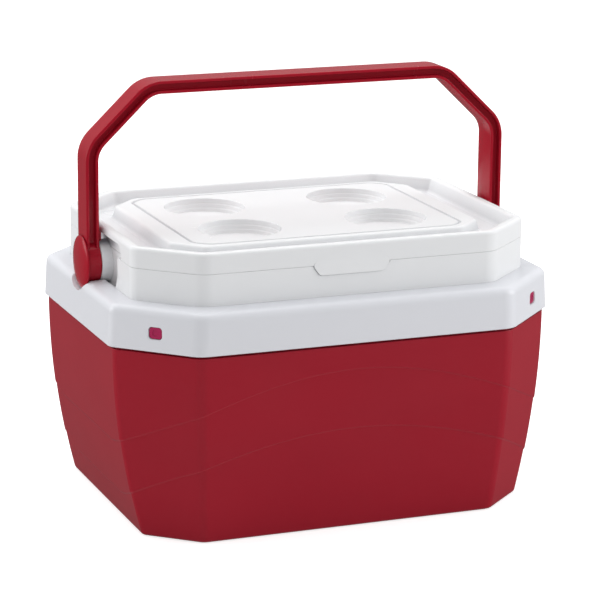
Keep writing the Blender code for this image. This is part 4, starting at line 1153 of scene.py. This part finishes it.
def world():
    """Even light from all round, and a surround for reflections: bright behind and below, dark in front."""
    made = bpy.data.worlds.new("studio")
    made.use_nodes = True
    made.cycles.sampling_method = "NONE"
    bpy.context.scene.world = made
    nodes = Nodes(made.node_tree)
    made.node_tree.nodes.clear()
    direction = nodes.add("ShaderNodeTexCoord").outputs["Generated"]
    height = nodes.add("ShaderNodeSeparateXYZ", {0: direction}).outputs[2]
    inputs = {0: direction, 1: AWAY_FROM_CAMERA}
    away = nodes.add("ShaderNodeVectorMath", inputs, operation="DOT_PRODUCT").outputs["Value"]
    away = nodes.spread(away, -0.2, 0.8, 0.0, 1.0)
    up = nodes.spread(height, -0.08, 0.12, 0.0, 1.0)
    low = nodes.maths("SUBTRACT", 1.0, up)
    toward = nodes.maths("SUBTRACT", 1.0, away)
    below = nodes.spread(height, -0.80, -0.50, 1.0, 0.0)
    sheen = nodes.maths("ADD", SHEEN_ROUND, nodes.maths("MULTIPLY", below, SHEEN_BELOW))
    for side, level_share, strength in (
        (away, low, SHEEN_BEHIND),
        (away, up, SHEEN_SKY_BEHIND),
        (toward, up, SHEEN_SKY_FRONT),
    ):
        part = nodes.maths("MULTIPLY", nodes.maths("MULTIPLY", side, level_share), strength)
        sheen = nodes.maths("ADD", sheen, part)
    glossy = nodes.add("ShaderNodeLightPath").outputs["Is Glossy Ray"]
    spread = nodes.maths("MULTIPLY", nodes.maths("SUBTRACT", 1.0, glossy), EVEN_LIGHT)
    strength = nodes.maths("ADD", nodes.maths("MULTIPLY", glossy, sheen), spread)
    sky = nodes.add("ShaderNodeBackground", {"Strength": strength})
    nodes.add("ShaderNodeOutputWorld", {"Surface": sky.outputs[0]})


def softbox(name, place, target, width, height, power):
    """A rectangular light that points at a target."""
    data = bpy.data.lights.new(name, "AREA")
    data.shape = "RECTANGLE"
    data.size, data.size_y, data.energy = width, height, power
    made = linked(name, data)
    made.location = place
    made.rotation_mode = "QUATERNION"
    made.rotation_quaternion = (Vector(target) - Vector(place)).to_track_quat("-Z", "Y")


# Camera: where it stands, its azimuth, pitch and roll in degrees, and its focal length in millimetres
CAMERA_PLACE = (-0.8428, -2.171, 0.7628)
CAMERA_TURNS = (-21.36, 14.34, 0.5)
CAMERA_LENS = 161.96


def camera():
    """The view: from the front left, a little above the lid, with a long lens."""
    azimuth, pitch, roll = (math.radians(angle) for angle in CAMERA_TURNS)
    flat_back = Vector((math.sin(azimuth), -math.cos(azimuth), 0))
    back = flat_back * math.cos(pitch) + Vector((0, 0, math.sin(pitch)))
    level_right = Vector((math.cos(azimuth), math.sin(azimuth), 0))
    level_up = back.cross(level_right)
    right = level_right * math.cos(roll) + level_up * math.sin(roll)
    turn = Matrix((right, back.cross(right), back)).transposed().to_4x4()
    data = bpy.data.cameras.new("camera")
    data.sensor_width, data.lens = 36, CAMERA_LENS
    made = linked("camera", data)
    made.matrix_world = Matrix.Translation(CAMERA_PLACE) @ turn
    bpy.context.scene.camera = made


# Softboxes: place, what they point at, width, height, power
SOFTBOXES = {
    "above_behind": ((0.0, 1.1, 1.7), (0.0, 0.0, 0.2), 2.2, 1.4, 16.0),
    "overhead": ((0.0, 0.1, 2.0), (0.0, 0.0, 0.2), 1.2, 1.0, 8.5),
    "above_right": ((1.3, 0.8, 1.5), (0.0, 0.0, 0.2), 1.2, 1.0, 2.5),
    "left": ((-1.9, 1.1, 0.8), (0.0, 0.0, 0.15), 1.4, 1.3, 15.5),
    "right": ((2.0, -0.75, 0.7), (0.0, 0.0, 0.15), 1.1, 1.5, 18.5),
}


def studio():
    floor()
    world()
    for name, setting in SOFTBOXES.items():
        softbox(name, *setting)
    camera()
    bpy.context.scene.view_settings.view_transform = "Standard"


build_object()
studio()
